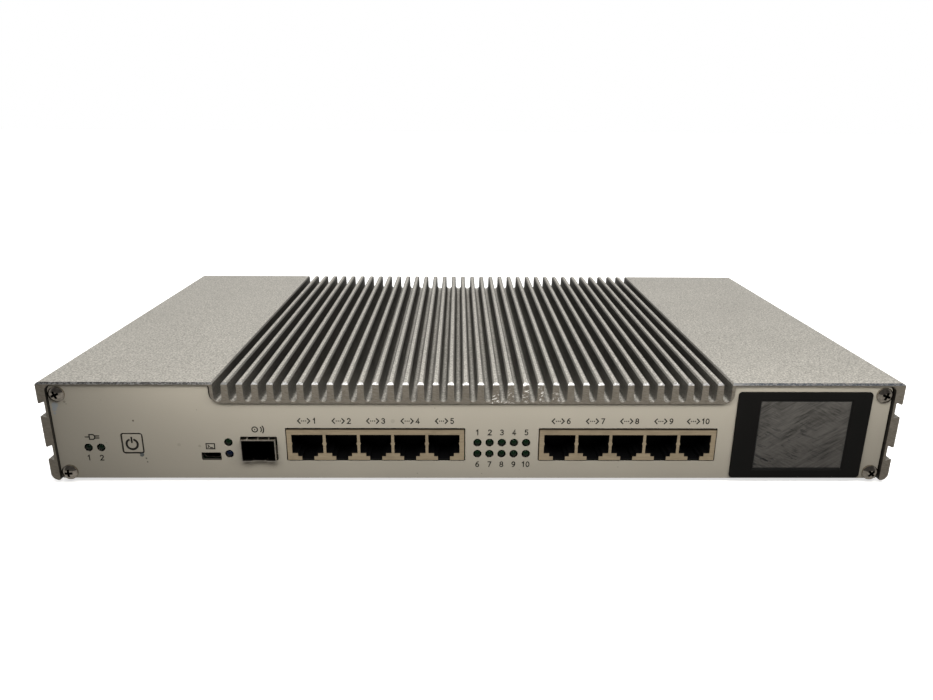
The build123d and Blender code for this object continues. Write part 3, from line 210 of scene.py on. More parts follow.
class Surface:
    """A procedural material. Sizes are in metres, on coordinates fixed to the part."""

    def __init__(self, name, **constants):
        self.material = bpy.data.materials.new(name)
        self.material.use_nodes = True
        self.tree = self.material.node_tree
        self.tree.nodes.clear()
        out = self.add("ShaderNodeOutputMaterial")
        self.shader = self.add("ShaderNodeBsdfPrincipled")
        self.tree.links.new(self.shader.outputs[0], out.inputs[0])
        self.here = self.add("ShaderNodeTexCoord").outputs["Object"]
        for key, value in constants.items():
            self.shader.inputs[key.replace("_", " ")].default_value = value

    def add(self, kind):
        return self.tree.nodes.new(kind)

    def feed(self, socket, value):
        """Link a socket to another one, or give it a number, a colour or a vector."""
        if isinstance(value, bpy.types.NodeSocket):
            self.tree.links.new(value, socket)
        elif socket.type == "RGBA":
            socket.default_value = (*value, 1)
        else:
            socket.default_value = value

    def set(self, **values):
        for key, value in values.items():
            self.feed(self.shader.inputs[key.replace("_", " ")], value)

    def op(self, operation, a, b=0.0):
        """One of the Math node's operations on one or two numbers."""
        node = self.add("ShaderNodeMath")
        node.operation = operation
        self.feed(node.inputs[0], a)
        self.feed(node.inputs[1], b)
        return node.outputs[0]

    def times(self, a, b):
        return self.op("MULTIPLY", a, b)

    def span(self, value, low, high, to=(0.0, 1.0)):
        """Value from low to high, drawn out to the range to, and held there beyond."""
        node = self.add("ShaderNodeMapRange")
        for socket, number in zip(node.inputs[:5], (value, low, high, to[0], to[1])):
            self.feed(socket, number)
        return node.outputs[0]

    def mix(self, share, a, b):
        """Colour a, turning into colour b as the share goes from 0 to 1."""
        node = self.add("ShaderNodeMix")
        node.data_type = "RGBA"
        self.feed(node.inputs["Factor"], share)
        self.feed(node.inputs["A"], a)
        self.feed(node.inputs["B"], b)
        return node.outputs["Result"]

    def blend(self, share, a, b):
        """The same for two numbers."""
        node = self.add("ShaderNodeMix")
        node.data_type = "FLOAT"
        self.feed(node.inputs["Factor"], share)
        self.feed(node.inputs["A"], a)
        self.feed(node.inputs["B"], b)
        return node.outputs["Result"]

    def turned(self, angles, stretch):
        """Coordinates turned by angles in degrees and then drawn out by stretch."""
        node = self.add("ShaderNodeMapping")
        node.vector_type = "TEXTURE"
        self.feed(node.inputs["Vector"], self.here)
        node.inputs["Rotation"].default_value = [math.radians(a) for a in angles]
        node.inputs["Scale"].default_value = stretch
        return node.outputs[0]

    def noise(self, size, stretch=(1, 1, 1), angles=(0, 0, 0), detail=2.0, rough=0.5):
        """Noise from 0 to 1 whose blobs are about size across."""
        node = self.add("ShaderNodeTexNoise")
        self.feed(node.inputs["Vector"], self.turned(angles, stretch))
        node.inputs["Scale"].default_value = 1 / size
        node.inputs["Detail"].default_value = detail
        node.inputs["Roughness"].default_value = rough
        return node.outputs[0]

    def cells(self, size):
        """Distance from the middle of each cell, 0 to about 1, with cells of that size."""
        node = self.add("ShaderNodeTexVoronoi")
        self.feed(node.inputs["Vector"], self.here)
        node.inputs["Scale"].default_value = 1 / size
        return node.outputs["Distance"]

    def axis(self, vector, letter):
        node = self.add("ShaderNodeSeparateXYZ")
        self.feed(node.inputs[0], vector)
        return node.outputs[letter]

    def facing(self, letter):
        """How much the face looks along an axis, 0 to 1, either way."""
        normal = self.add("ShaderNodeNewGeometry").outputs["True Normal"]
        return self.op("ABSOLUTE", self.axis(normal, letter))

    def spot(self, centre, radius, soft):
        """1 within radius of a point, fading to 0 over soft."""
        node = self.add("ShaderNodeVectorMath")
        node.operation = "DISTANCE"
        self.feed(node.inputs[0], self.here)
        node.inputs[1].default_value = centre
        return self.span(node.outputs["Value"], radius, radius + soft, (1.0, 0.0))

    def relief(self, layers):
        """Bump from (height, depth in metres) layers, one over the other."""
        under = None
        for height, depth in layers:
            node = self.add("ShaderNodeBump")
            node.inputs["Strength"].default_value = 1.0
            self.feed(node.inputs["Distance"], depth)
            self.feed(node.inputs["Height"], height)
            if under:
                self.feed(node.inputs["Normal"], under)
            under = node.outputs[0]
        self.feed(self.shader.inputs["Normal"], under)


def scaled(colour, by):
    return tuple(min(1.0, c * by) for c in colour)


def grained(name, colour, grain, spread=0.12, rough=(0.4, 0.55), depth=0.004, stretch=(1, 1, 1), **constants):
    """A plain material with its own grain: colour, gloss and relief all vary with it."""
    s = Surface(name, **constants)
    fine = s.noise(grain * MM, stretch, detail=3.0, rough=0.6)
    broad = s.noise(18 * MM, detail=2.0)
    tone = s.blend(0.35, fine, broad)
    s.set(Base_Color=s.mix(s.span(tone, 0.3, 0.7), scaled(colour, 1 - spread), scaled(colour, 1 + spread)))
    s.set(Roughness=s.span(broad, 0.3, 0.7, rough))
    s.relief([(fine, depth * MM)])
    return s.material


# ---- housing ---------------------------------------------------------------------------

BLASTED_DARK = (0.22, 0.210, 0.187)
BLASTED_LIGHT = (0.68, 0.655, 0.60)
SAWN_DARK = (0.26, 0.236, 0.198)
SAWN_LIGHT = (0.46, 0.416, 0.356)
STRUCK = (0.97, 0.96, 0.93)
FLANK_SHADE = (0.070, 0.066, 0.058)

# The facets of the broken edges: their colour in the middle, and painted shade towards the sides and at the far
# left and right.
FACET_DARK = (0.42, 0.42, 0.42)
FACET_LIGHT = (0.93, 0.93, 0.93)
FACET_SIDE_SHADE = (0.28, 0.28, 0.275)
FACET_LEFT_SHADE = (0.05, 0.05, 0.048)
FACET_RIGHT_SHADE = (0.09, 0.105, 0.13)

WALL_INSIDE = 0.1703
PAN_HALF = 0.1055
GROOVE_FLOOR = CAD_BOX[1].z - 0.0085
FIN_END_Y = -0.100
# Where something has struck the ends of the middle fins: x, z and radius.
FIN_KNOCKS = [(0.0085, 0.0370, 0.003), (0.0130, 0.0380, 0.004), (0.0225, 0.0415, 0.006),
              (0.0285, 0.0395, 0.004), (0.0340, 0.0375, 0.003)]


def fin_damage(s):
    """1 in the struck places, with soft edges."""
    mask = None
    for x, z, radius in FIN_KNOCKS:
        here = s.spot((x, FIN_END_Y, z), radius * 0.6, radius * 0.6)
        mask = here if mask is None else s.op("MAXIMUM", mask, here)
    return mask


def blasted_face(s, grit):
    """Anodised over fine blasting, with pits and broad dimmer patches."""
    pits = s.cells(0.8 * MM)
    broad = s.noise(30 * MM, detail=3.0)
    face = s.mix(s.span(grit, 0.36, 0.66), BLASTED_DARK, BLASTED_LIGHT)
    face = s.mix(s.span(broad, 0.35, 0.65, (0.0, 0.10)), face, BLASTED_DARK)
    return s.mix(s.span(pits, 0.0, 0.16, (0.35, 0.0)), face, scaled(BLASTED_DARK, 0.6))


def hollow_shade(s, face, side):
    """Darker flanks between the fins, most of all behind their front ends, and darker insides of the walls."""
    across = s.op("ABSOLUTE", side)
    up = s.axis(s.here, "Z")
    flank = s.times(s.span(s.facing("X"), 0.45, 0.75), s.span(up, GROOVE_FLOOR, GROOVE_FLOOR + 0.5 * MM))
    flank = s.times(flank, s.span(across, PAN_HALF, PAN_HALF - 0.5 * MM))
    deep = s.span(s.axis(s.here, "Y"), -0.100, -0.070, (0.50, 0.95))
    face = s.mix(s.times(flank, deep), face, FLANK_SHADE)
    inside = s.times(s.span(s.facing("X"), 0.85, 0.95), s.span(across, WALL_INSIDE, WALL_INSIDE - 0.3 * MM))
    return s.mix(s.times(inside, s.span(across, PAN_HALF, PAN_HALF + 0.5 * MM)), face, FLANK_SHADE)


def broken_edge(s, dents, side):
    """Bright facets, with painted shade that dims them towards the sides, and painted shade in dent-shaped
    patches at the far left and right.
    """
    bright = s.mix(s.span(dents, 0.38, 0.58), FACET_DARK, FACET_LIGHT)
    bright = s.mix(s.span(s.op("ABSOLUTE", side), 0.050, 0.105, (0.0, 0.6)), bright, FACET_SIDE_SHADE)
    # Painted shade at the far left, and at the far right tinted blue, in patches that follow the dents.
    left = s.times(s.span(side, -0.110, -0.090, (0.9, 0.0)), s.span(dents, 0.40, 0.52))
    right = s.times(s.span(side, 0.100, 0.112, (0.0, 0.95)), s.span(dents, 0.38, 0.52))
    return s.mix(right, s.mix(left, bright, FACET_LEFT_SHADE), FACET_RIGHT_SHADE)


def housing_aluminium():
    """Blasted and anodised faces, dull sawn ends, and bright facets where the ends are broken, with painted
    shade between the fins, inside the walls and on the facets towards the sides.
    """
    s = Surface("housing_aluminium")
    side = s.axis(s.here, "X")
    ends = s.facing("Y")
    sawn_face = s.span(ends, 0.92, 0.97)
    facet = s.times(s.span(ends, 0.5, 0.6), s.span(ends, 0.92, 0.85))
    grit = s.noise(0.75 * MM, detail=3.0, rough=0.75)
    saw = s.noise(0.45 * MM, (4, 1, 0.8), (0, 14, 0), detail=3.0, rough=0.75)
    knocks = s.noise(0.8 * MM, (2.2, 1, 0.7), (0, -24, 0), detail=3.0, rough=0.7)
    dents = s.noise(0.6 * MM, (1.6, 1, 1), detail=3.0, rough=0.65)

    struck = s.times(s.span(knocks, 0.565, 0.59), fin_damage(s))
    sawn = s.mix(s.span(saw, 0.28, 0.72), SAWN_DARK, SAWN_LIGHT)
    sawn = s.mix(struck, sawn, STRUCK)
    face = s.mix(sawn_face, hollow_shade(s, blasted_face(s, grit), side), sawn)
    s.set(Base_Color=s.mix(facet, face, broken_edge(s, dents, side)), Metallic=s.blend(struck, 0.75, 0.1))
    rough = s.blend(sawn_face, s.span(grit, 0.3, 0.7, (0.40, 0.58)), 0.62)
    s.set(Roughness=s.blend(facet, rough, 0.32))
    s.relief([(grit, s.blend(sawn_face, 0.09 * MM, 0.004 * MM)),
              (saw, s.times(sawn_face, 0.008 * MM)),
              (dents, s.times(facet, 0.05 * MM))])
    return s.material


# ---- panels ----------------------------------------------------------------------------

PAINT = (0.50, 0.47, 0.405)
PAINT_SPECK = (0.10, 0.09, 0.075)
# Painted shade for cut edges and the inside of sockets.
GAP_SHADE = (0.020, 0.018, 0.015)
SCRAPED = (0.40, 0.44, 0.48)
HAIRLINE = (0.20, 0.18, 0.15)
CHIPPED = (0.10, 0.12, 0.13)
SPATTER = (0.10, 0.10, 0.09)
DIRT = (0.10, 0.08, 0.065)
SMUDGE = (0.30, 0.27, 0.22)
FAINT_SMUDGE = (0.34, 0.31, 0.26)
PANEL_FACE = -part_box("front_panel")[0].y
MARK_Y = -0.0985
# Marks of handling on the front panel: x, z, radius, colour and strength.
PAINT_MARKS = [
    (-0.1677, 0.0342, 0.0018, SCRAPED, 0.9),
    (-0.1681, 0.0325, 0.0014, SCRAPED, 0.9),
    (-0.1684, 0.0306, 0.0008, SCRAPED, 0.8),
    (-0.1638, 0.0356, 0.0007, HAIRLINE, 0.6),
    (-0.1632, 0.0347, 0.0004, HAIRLINE, 0.6),
    (-0.1358, 0.0124, 0.0013, CHIPPED, 0.9),
    (-0.1343, 0.0106, 0.0005, SPATTER, 0.8),
    (-0.1340, 0.0090, 0.0005, SPATTER, 0.8),
    (-0.1375, 0.0274, 0.0005, DIRT, 0.9),
    (-0.1202, 0.0167, 0.0010, SMUDGE, 0.4),
    (-0.1119, 0.0162, 0.0009, SMUDGE, 0.6),
    (-0.0326, 0.0274, 0.0013, FAINT_SMUDGE, 0.5),
]


def panel_paint():
    """Satin powder coat with a fine peel, a few dark specks, the marks of handling, and painted shade on the
    cut edges.
    """
    s = Surface("panel_paint", Specular_IOR_Level=0.35)
    peel = s.noise(0.9 * MM, detail=1.0)
    fine = s.noise(0.22 * MM, detail=2.0)
    broad = s.noise(45 * MM, detail=2.0)
    paint = s.mix(s.span(broad, 0.35, 0.65), scaled(PAINT, 0.97), scaled(PAINT, 1.03))
    paint = s.mix(s.span(fine, 0.35, 0.65, (0.0, 0.10)), paint, scaled(PAINT, 0.78))
    specks = s.span(s.cells(7 * MM), 0.035, 0.022)
    paint = s.mix(s.times(specks, 0.7), paint, PAINT_SPECK)
    outward = s.op("ABSOLUTE", s.axis(s.here, "Y"))
    # Painted shade on the cut edges and the walls of the holes, from just behind the front face.
    within = s.span(outward, PANEL_FACE - 0.02 * MM, PANEL_FACE - 0.18 * MM)
    paint = s.mix(s.times(within, 0.92), paint, GAP_SHADE)
    rag = s.noise(1.6 * MM, detail=3.0, rough=0.7)
    ragged = s.times(s.op("SUBTRACT", rag, 0.5), 0.9)
    for x, z, radius, colour, strength in PAINT_MARKS:
        near = s.spot((x, MARK_Y, z), radius * 0.3, radius * 0.9)
        mark = s.span(s.op("ADD", near, ragged), 0.48, 0.60)
        paint = s.mix(s.times(mark, strength), paint, colour)
    s.set(Base_Color=paint)
    s.set(Roughness=s.span(peel, 0.3, 0.7, (0.42, 0.54)))
    s.relief([(peel, 0.006 * MM), (fine, 0.003 * MM)])
    return s.material


INK_FULL = (0.008, 0.007, 0.006)
INK_THIN = (0.024, 0.022, 0.018)


def ink():
    """Screen-printed ink, a little uneven where it took less well."""
    s = Surface("print_ink", Specular_IOR_Level=0.3)
    patch = s.noise(0.35 * MM, detail=3.0, rough=0.7)
    s.set(Base_Color=s.mix(s.span(patch, 0.45, 0.70), INK_FULL, INK_THIN))
    s.set(Roughness=s.span(patch, 0.3, 0.7, (0.45, 0.60)))
    s.relief([(patch, 0.004 * MM)])
    return s.material


# ---- metal pieces ----------------------------------------------------------------------

SHIELD_DARK = (0.60, 0.485, 0.335)
SHIELD_LIGHT = (0.82, 0.685, 0.485)
SHIELD_STAIN = (0.46, 0.38, 0.27)

# Screw heads: how far out they stand, the middle height and the half distance between rows, and their crosses.
SCREW_X = 0.1662
SCREW_MID_Z = CAD_BOX[0].z + 0.02185
SCREW_HALF_Z = 0.01725
SCREW_FLOOR = -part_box("front_screws")[0].y - 0.00115
CROSS_REACH = 2.0 * MM
# Painted shade inside the crosses.
CROSS_SHADE = (0.012, 0.011, 0.010)

# Plated pieces. A cross has painted shade inside, and a socket has painted shade from its mouth inwards.
PLATED = {
    "screw_nickel": dict(light=(0.54, 0.49, 0.43), dark=(0.33, 0.30, 0.26), rough=(0.12, 0.20), cross=True),
    # The USB shell's steel is darkened all over: painted shade for a shell set back in its slot.
    "usb_steel": dict(light=(0.20, 0.19, 0.17), dark=(0.10, 0.095, 0.085), rough=(0.30, 0.45)),
    "cage_nickel": dict(light=(0.60, 0.57, 0.52), dark=(0.42, 0.39, 0.34), rough=(0.28, 0.42),
                        shade_from=-PANEL_FACE - 1.2 * MM),
}


def port_shield():
    """Thin plated sheet, faintly streaked along its length, with stains."""
    s = Surface("port_shield", Metallic=0.9)
    streak = s.noise(0.25 * MM, (30, 1, 1), detail=3.0, rough=0.6)
    stain = s.noise(5 * MM, (1.5, 1, 1), detail=4.0, rough=0.6)
    plate = s.mix(s.span(streak, 0.3, 0.7), SHIELD_DARK, SHIELD_LIGHT)
    s.set(Base_Color=s.mix(s.span(stain, 0.52, 0.75, (0.0, 0.45)), plate, SHIELD_STAIN))
    s.set(Roughness=s.span(stain, 0.3, 0.7, (0.38, 0.50)))
    s.relief([(streak, 0.003 * MM), (stain, 0.02 * MM)])
    return s.material


def screw_cross(s):
    """1 on the walls and the floor of the cross in each screw head, at both ends of the part: where the painted
    shade goes.
    """
    across = s.op("SUBTRACT", s.op("ABSOLUTE", s.axis(s.here, "X")), SCREW_X)
    up = s.op("ABSOLUTE", s.op("SUBTRACT", s.axis(s.here, "Z"), SCREW_MID_Z))
    up = s.op("SUBTRACT", up, SCREW_HALF_Z)
    radius = s.op("SQRT", s.op("ADD", s.times(across, across), s.times(up, up)))
    wall = s.span(s.facing("Y"), 0.60, 0.50)
    depth = s.span(s.op("ABSOLUTE", s.axis(s.here, "Y")), SCREW_FLOOR, SCREW_FLOOR - 0.1 * MM)
    return s.times(s.op("MAXIMUM", wall, depth), s.span(radius, CROSS_REACH, CROSS_REACH - 0.05 * MM))


def bright_plate(name, light, dark, rough, cross=False, shade_from=None):
    """Nickel or steel plating: cloudy colour, fine wipe marks and small pits, and painted shade in crosses and
    sockets where asked.
    """
    s = Surface(name, Metallic=1.0)
    cloud = s.noise(1.5 * MM, detail=3.0)
    wipe = s.noise(0.12 * MM, (12, 1, 1), (0, 20, 0), detail=2.0)
    pits = s.span(s.cells(0.7 * MM), 0.10, 0.04)
    plate = s.mix(s.span(cloud, 0.35, 0.65), dark, light)
    plate = s.mix(s.times(pits, 0.5), plate, scaled(dark, 0.4))
    gloss = s.span(wipe, 0.3, 0.7, rough)
    if shade_from:
        # Painted shade inside a socket, from its mouth inwards.
        inner = s.span(s.axis(s.here, "Y"), shade_from, shade_from + MM)
        plate = s.mix(s.times(inner, 0.93), plate, GAP_SHADE)
    if cross:
        # Painted shade in the cross.
        inside = screw_cross(s)
        plate = s.mix(inside, plate, CROSS_SHADE)
        gloss = s.blend(inside, gloss, 0.6)
    s.set(Base_Color=plate, Roughness=gloss)
    s.relief([(wipe, 0.001 * MM), (cloud, 0.004 * MM)])
    return s.material


# ---- lamps, display and board ----------------------------------------------------------

LAMP_GREEN = (0.002, 0.012, 0.004)
LAMP_BLUE = (0.002, 0.006, 0.022)
LAMP_OFF = (0.002, 0.009, 0.004)
LAMP_SPLIT = CAD_BOX[0].z + 0.0152
BEZEL_BLACK = (0.0060, 0.0058, 0.0056)
DUST = (0.25, 0.24, 0.22)

FILM_DARK = (0.030, 0.0285, 0.027)
FILM_LIGHT = (0.130, 0.125, 0.118)
# Painted shade in the creases.
FILM_CREASE_SHADE = (0.008, 0.008, 0.010)
FILM_CLOUD = (0.135, 0.130, 0.124)


def lamp_resin(name, colour, upper=None):
    """A clear tinted dome over a dark chip. The higher of two lamps may have a tint of its own."""
    s = Surface(name, Coat_Weight=0.12, Coat_Roughness=0.04, Specular_IOR_Level=0.2)
    cloud = s.noise(0.8 * MM, detail=2.0)
    tint = s.mix(s.span(cloud, 0.35, 0.65), scaled(colour, 0.75), scaled(colour, 1.3))
    if upper:
        tint = s.mix(s.span(s.axis(s.here, "Z"), LAMP_SPLIT, LAMP_SPLIT + MM), tint, upper)
    s.set(Base_Color=tint)
    s.set(Roughness=s.span(cloud, 0.3, 0.7, (0.06, 0.12)))
    s.relief([(s.noise(0.5 * MM), 0.001 * MM)])
    return s.material


def bezel_plastic():
    """Moulded black plastic with a spark-eroded texture and a little dust."""
    s = Surface("bezel_plastic", Specular_IOR_Level=0.16)
    texture = s.noise(0.16 * MM, detail=2.0, rough=0.6)
    broad = s.noise(20 * MM, detail=2.0)
    dust = s.span(s.cells(3.1 * MM), 0.030, 0.016)
    base = s.mix(s.span(broad, 0.3, 0.7), scaled(BEZEL_BLACK, 0.85), scaled(BEZEL_BLACK, 1.2))
    s.set(Base_Color=s.mix(s.times(dust, 0.5), base, DUST))
    s.set(Roughness=s.span(texture, 0.3, 0.7, (0.42, 0.56)))
    s.relief([(texture, 0.006 * MM)])
    return s.material


def display_film():
    """A grey matt film with rub marks that cross it at a slant, and painted shade in creases at its lower left.
    """
    s = Surface("display_film", Specular_IOR_Level=0.3, Coat_Weight=0.15, Coat_Roughness=0.35)
    rise = s.noise(0.8 * MM, (9, 1, 1), (0, -32, 0), detail=4.0, rough=0.65)
    fall = s.noise(0.7 * MM, (7, 1, 1), (0, 26, 0), detail=4.0, rough=0.65)
    where = s.noise(14 * MM, detail=1.0)
    rubs = s.blend(s.span(where, 0.42, 0.58), rise, fall)
    tone = s.mix(s.span(rubs, 0.34, 0.66), FILM_DARK, FILM_LIGHT)
    crease = s.span(s.noise(1.1 * MM, (6, 1, 1), (0, 24, 0), detail=3.0, rough=0.7), 0.57, 0.62)
    # Painted shade in the creases at the lower left.
    low_left = s.times(s.span(s.axis(s.here, "Z"), 0.029, 0.023), s.span(s.axis(s.here, "X"), 0.148, 0.135))
    tone = s.mix(s.times(crease, low_left), tone, FILM_CREASE_SHADE)
    cloud = s.span(s.noise(7 * MM, (2, 1, 1), (0, -30, 0), detail=3.0), 0.40, 0.60, (0.0, 0.45))
    s.set(Base_Color=s.mix(cloud, tone, FILM_CLOUD))
    s.set(Roughness=s.span(rubs, 0.3, 0.7, (0.34, 0.62)))
    s.relief([(rubs, 0.02 * MM)])
    return s.material


def circuit_board():
    """Green solder mask over faint tracks."""
    s = Surface("circuit_board", Coat_Weight=0.3, Coat_Roughness=0.2)
    tracks = s.span(s.noise(1.2 * MM, (8, 1, 1), detail=1.0), 0.48, 0.52)
    weave = s.noise(0.6 * MM, detail=2.0)
    mask = s.mix(tracks, (0.010, 0.090, 0.040), (0.016, 0.140, 0.062))
    s.set(Base_Color=s.mix(s.span(weave, 0.3, 0.7, (0.0, 0.2)), mask, (0.03, 0.16, 0.08)))
    s.set(Roughness=s.span(weave, 0.3, 0.7, (0.30, 0.45)))
    s.relief([(tracks, 0.03 * MM)])
    return s.material


# Plain materials: colour, grain in mm, and what differs from the usual.
PLAIN = {
    "plate_zinc": dict(colour=(0.52, 0.52, 0.52), grain=2.6, rough=(0.34, 0.52), spread=0.16, Metallic=0.9),
    "screw_black": dict(colour=(0.05, 0.05, 0.05), grain=0.3, rough=(0.30, 0.42), Metallic=0.8),
    "foot_rubber": dict(colour=(0.022, 0.022, 0.022), grain=0.25, rough=(0.78, 0.90), depth=0.02,
                        Specular_IOR_Level=0.2),
    "display_glass": dict(colour=(0.05, 0.052, 0.052), grain=3.0, rough=(0.08, 0.14), depth=0.001),
    "display_dark": dict(colour=(0.03, 0.032, 0.032), grain=0.2, rough=(0.30, 0.40)),
    "ribbon_film": dict(colour=(0.70, 0.68, 0.62), grain=1.0, stretch=(1, 1, 0.1), rough=(0.35, 0.45)),
    "port_plastic": dict(colour=(0.004, 0.004, 0.0045), grain=0.3, rough=(0.35, 0.50), depth=0.008,
                         Specular_IOR_Level=0.2),
    "contact_gold": dict(colour=(0.80, 0.58, 0.22), grain=0.2, rough=(0.18, 0.30), Metallic=1.0),
    "connector_plastic": dict(colour=(0.014, 0.014, 0.014), grain=0.3, rough=(0.40, 0.55)),
    "holder_plastic": dict(colour=(0.012, 0.012, 0.012), grain=0.3, rough=(0.45, 0.60)),
    "switch_plastic": dict(colour=(0.05, 0.05, 0.05), grain=0.25, rough=(0.40, 0.55)),
    "chip_black": dict(colour=(0.022, 0.022, 0.024), grain=0.15, rough=(0.50, 0.62), depth=0.008),
    "processor_lid": dict(colour=(0.60, 0.60, 0.59), grain=0.3, rough=(0.28, 0.38), Metallic=1.0),
    "block_aluminium": dict(colour=(0.66, 0.66, 0.65), grain=0.35, stretch=(20, 1, 1), rough=(0.30, 0.45),
                            Metallic=1.0),
    "pad_grey": dict(colour=(0.36, 0.39, 0.43), grain=0.5, rough=(0.70, 0.85), depth=0.02),
    "ferrite": dict(colour=(0.07, 0.07, 0.075), grain=0.4, rough=(0.50, 0.70), depth=0.02),
    "capacitor_can": dict(colour=(0.58, 0.59, 0.62), grain=0.3, stretch=(1, 1, 15), rough=(0.25, 0.35),
                          Metallic=0.9),
    "cell_steel": dict(colour=(0.66, 0.66, 0.65), grain=0.25, stretch=(10, 1, 1), rough=(0.22, 0.32),
                       Metallic=1.0),
    "standoff_brass": dict(colour=(0.70, 0.53, 0.24), grain=0.3, stretch=(1, 1, 0.1), rough=(0.25, 0.38),
                           Metallic=1.0),
    "wire_sleeve": dict(colour=(0.03, 0.03, 0.03), grain=0.4, rough=(0.45, 0.60), depth=0.02),
    "inlet_plastic": dict(colour=(0.016, 0.016, 0.017), grain=0.22, rough=(0.42, 0.58), depth=0.012,
                          Specular_IOR_Level=0.3),
    "pin_nickel": dict(colour=(0.66, 0.63, 0.56), grain=0.3, stretch=(1, 20, 1), rough=(0.20, 0.34),
                       Metallic=1.0),
}


def make_materials():
    made = {name: grained(name, **recipe) for name, recipe in PLAIN.items()}
    made.update({name: bright_plate(name, **recipe) for name, recipe in PLATED.items()})
    made["housing_aluminium"] = housing_aluminium()
    made["panel_paint"] = panel_paint()
    made["port_shield"] = port_shield()
    made["lamp_green"] = lamp_resin("lamp_green", LAMP_GREEN)
    made["lamp_mixed"] = lamp_resin("lamp_mixed", LAMP_BLUE, LAMP_GREEN)
    made["lamp_dark"] = lamp_resin("lamp_dark", LAMP_OFF)
    made["bezel_plastic"] = bezel_plastic()
    made["circuit_board"] = circuit_board()
    return made


def dress_nodes(made):
    """Give each CAD node the material of its slot in the record."""
    for part in frame["record"]["subparts"]:
        mesh = nodes[part["node"]].data
        mesh.materials.clear()
        mesh.materials.append(made[part["material_slot"]])


# ---- print -----------------------------------------------------------------------------

INK_THICK = 0.02 * MM
CAP_STEPS = 4
CAP_TURN = 0.48 * math.pi
MITRE_LEAST = 0.4
DOT_HALF = 0.01
WELD = 1e-7

# Widths of strokes, and the step from digit to digit as a share of their height. All of the print is in mm.
LINE = 0.50
DIGIT_LINE = 0.42
DIGIT_STEP = 0.80


def arc(centre, radii, start, end, steps=9):
    """Points along part of an ellipse, clockwise from its top, in degrees."""
    turns = [math.radians(start + (end - start) * i / steps) for i in range(steps + 1)]
    return [(centre[0] + radii[0] * math.sin(t), centre[1] + radii[1] * math.cos(t)) for t in turns]


def loop(centre, radii):
    return arc(centre, radii, 0, 360, 20)[:-1], True


# Each digit as strokes in a box one high, centred on 0: (points, closed).
DIGITS = {
    "0": [loop((0, 0.5), (0.28, 0.5))],
    "1": [([(-0.20, 0.78), (0.04, 1.0), (0.04, 0.0)], False)],
    "2": [(arc((0, 0.72), (0.27, 0.28), -75, 115) + [(-0.28, 0.0), (0.29, 0.0)], False)],
    "3": [(arc((-0.03, 0.76), (0.25, 0.24), -65, 180), False),
          (arc((-0.03, 0.27), (0.28, 0.27), 0, 245), False)],
    "4": [([(0.12, 0.0), (0.12, 1.0), (-0.29, 0.27), (0.30, 0.27)], False)],
    "5": [([(0.24, 1.0), (-0.19, 1.0), (-0.22, 0.55)], False),
          (arc((-0.02, 0.32), (0.28, 0.32), -45, 235), False)],
    "6": [loop((0, 0.30), (0.27, 0.30)), (arc((0.20, 0.33), (0.47, 0.67), -90, 0), False)],
    "7": [([(-0.27, 1.0), (0.28, 1.0), (-0.10, 0.0)], False)],
    "8": [loop((0, 0.26), (0.28, 0.26)), loop((0, 0.76), (0.24, 0.24))],
    "9": [loop((0, 0.70), (0.27, 0.30)), (arc((-0.20, 0.67), (0.47, 0.67), 90, 180), False)],
}


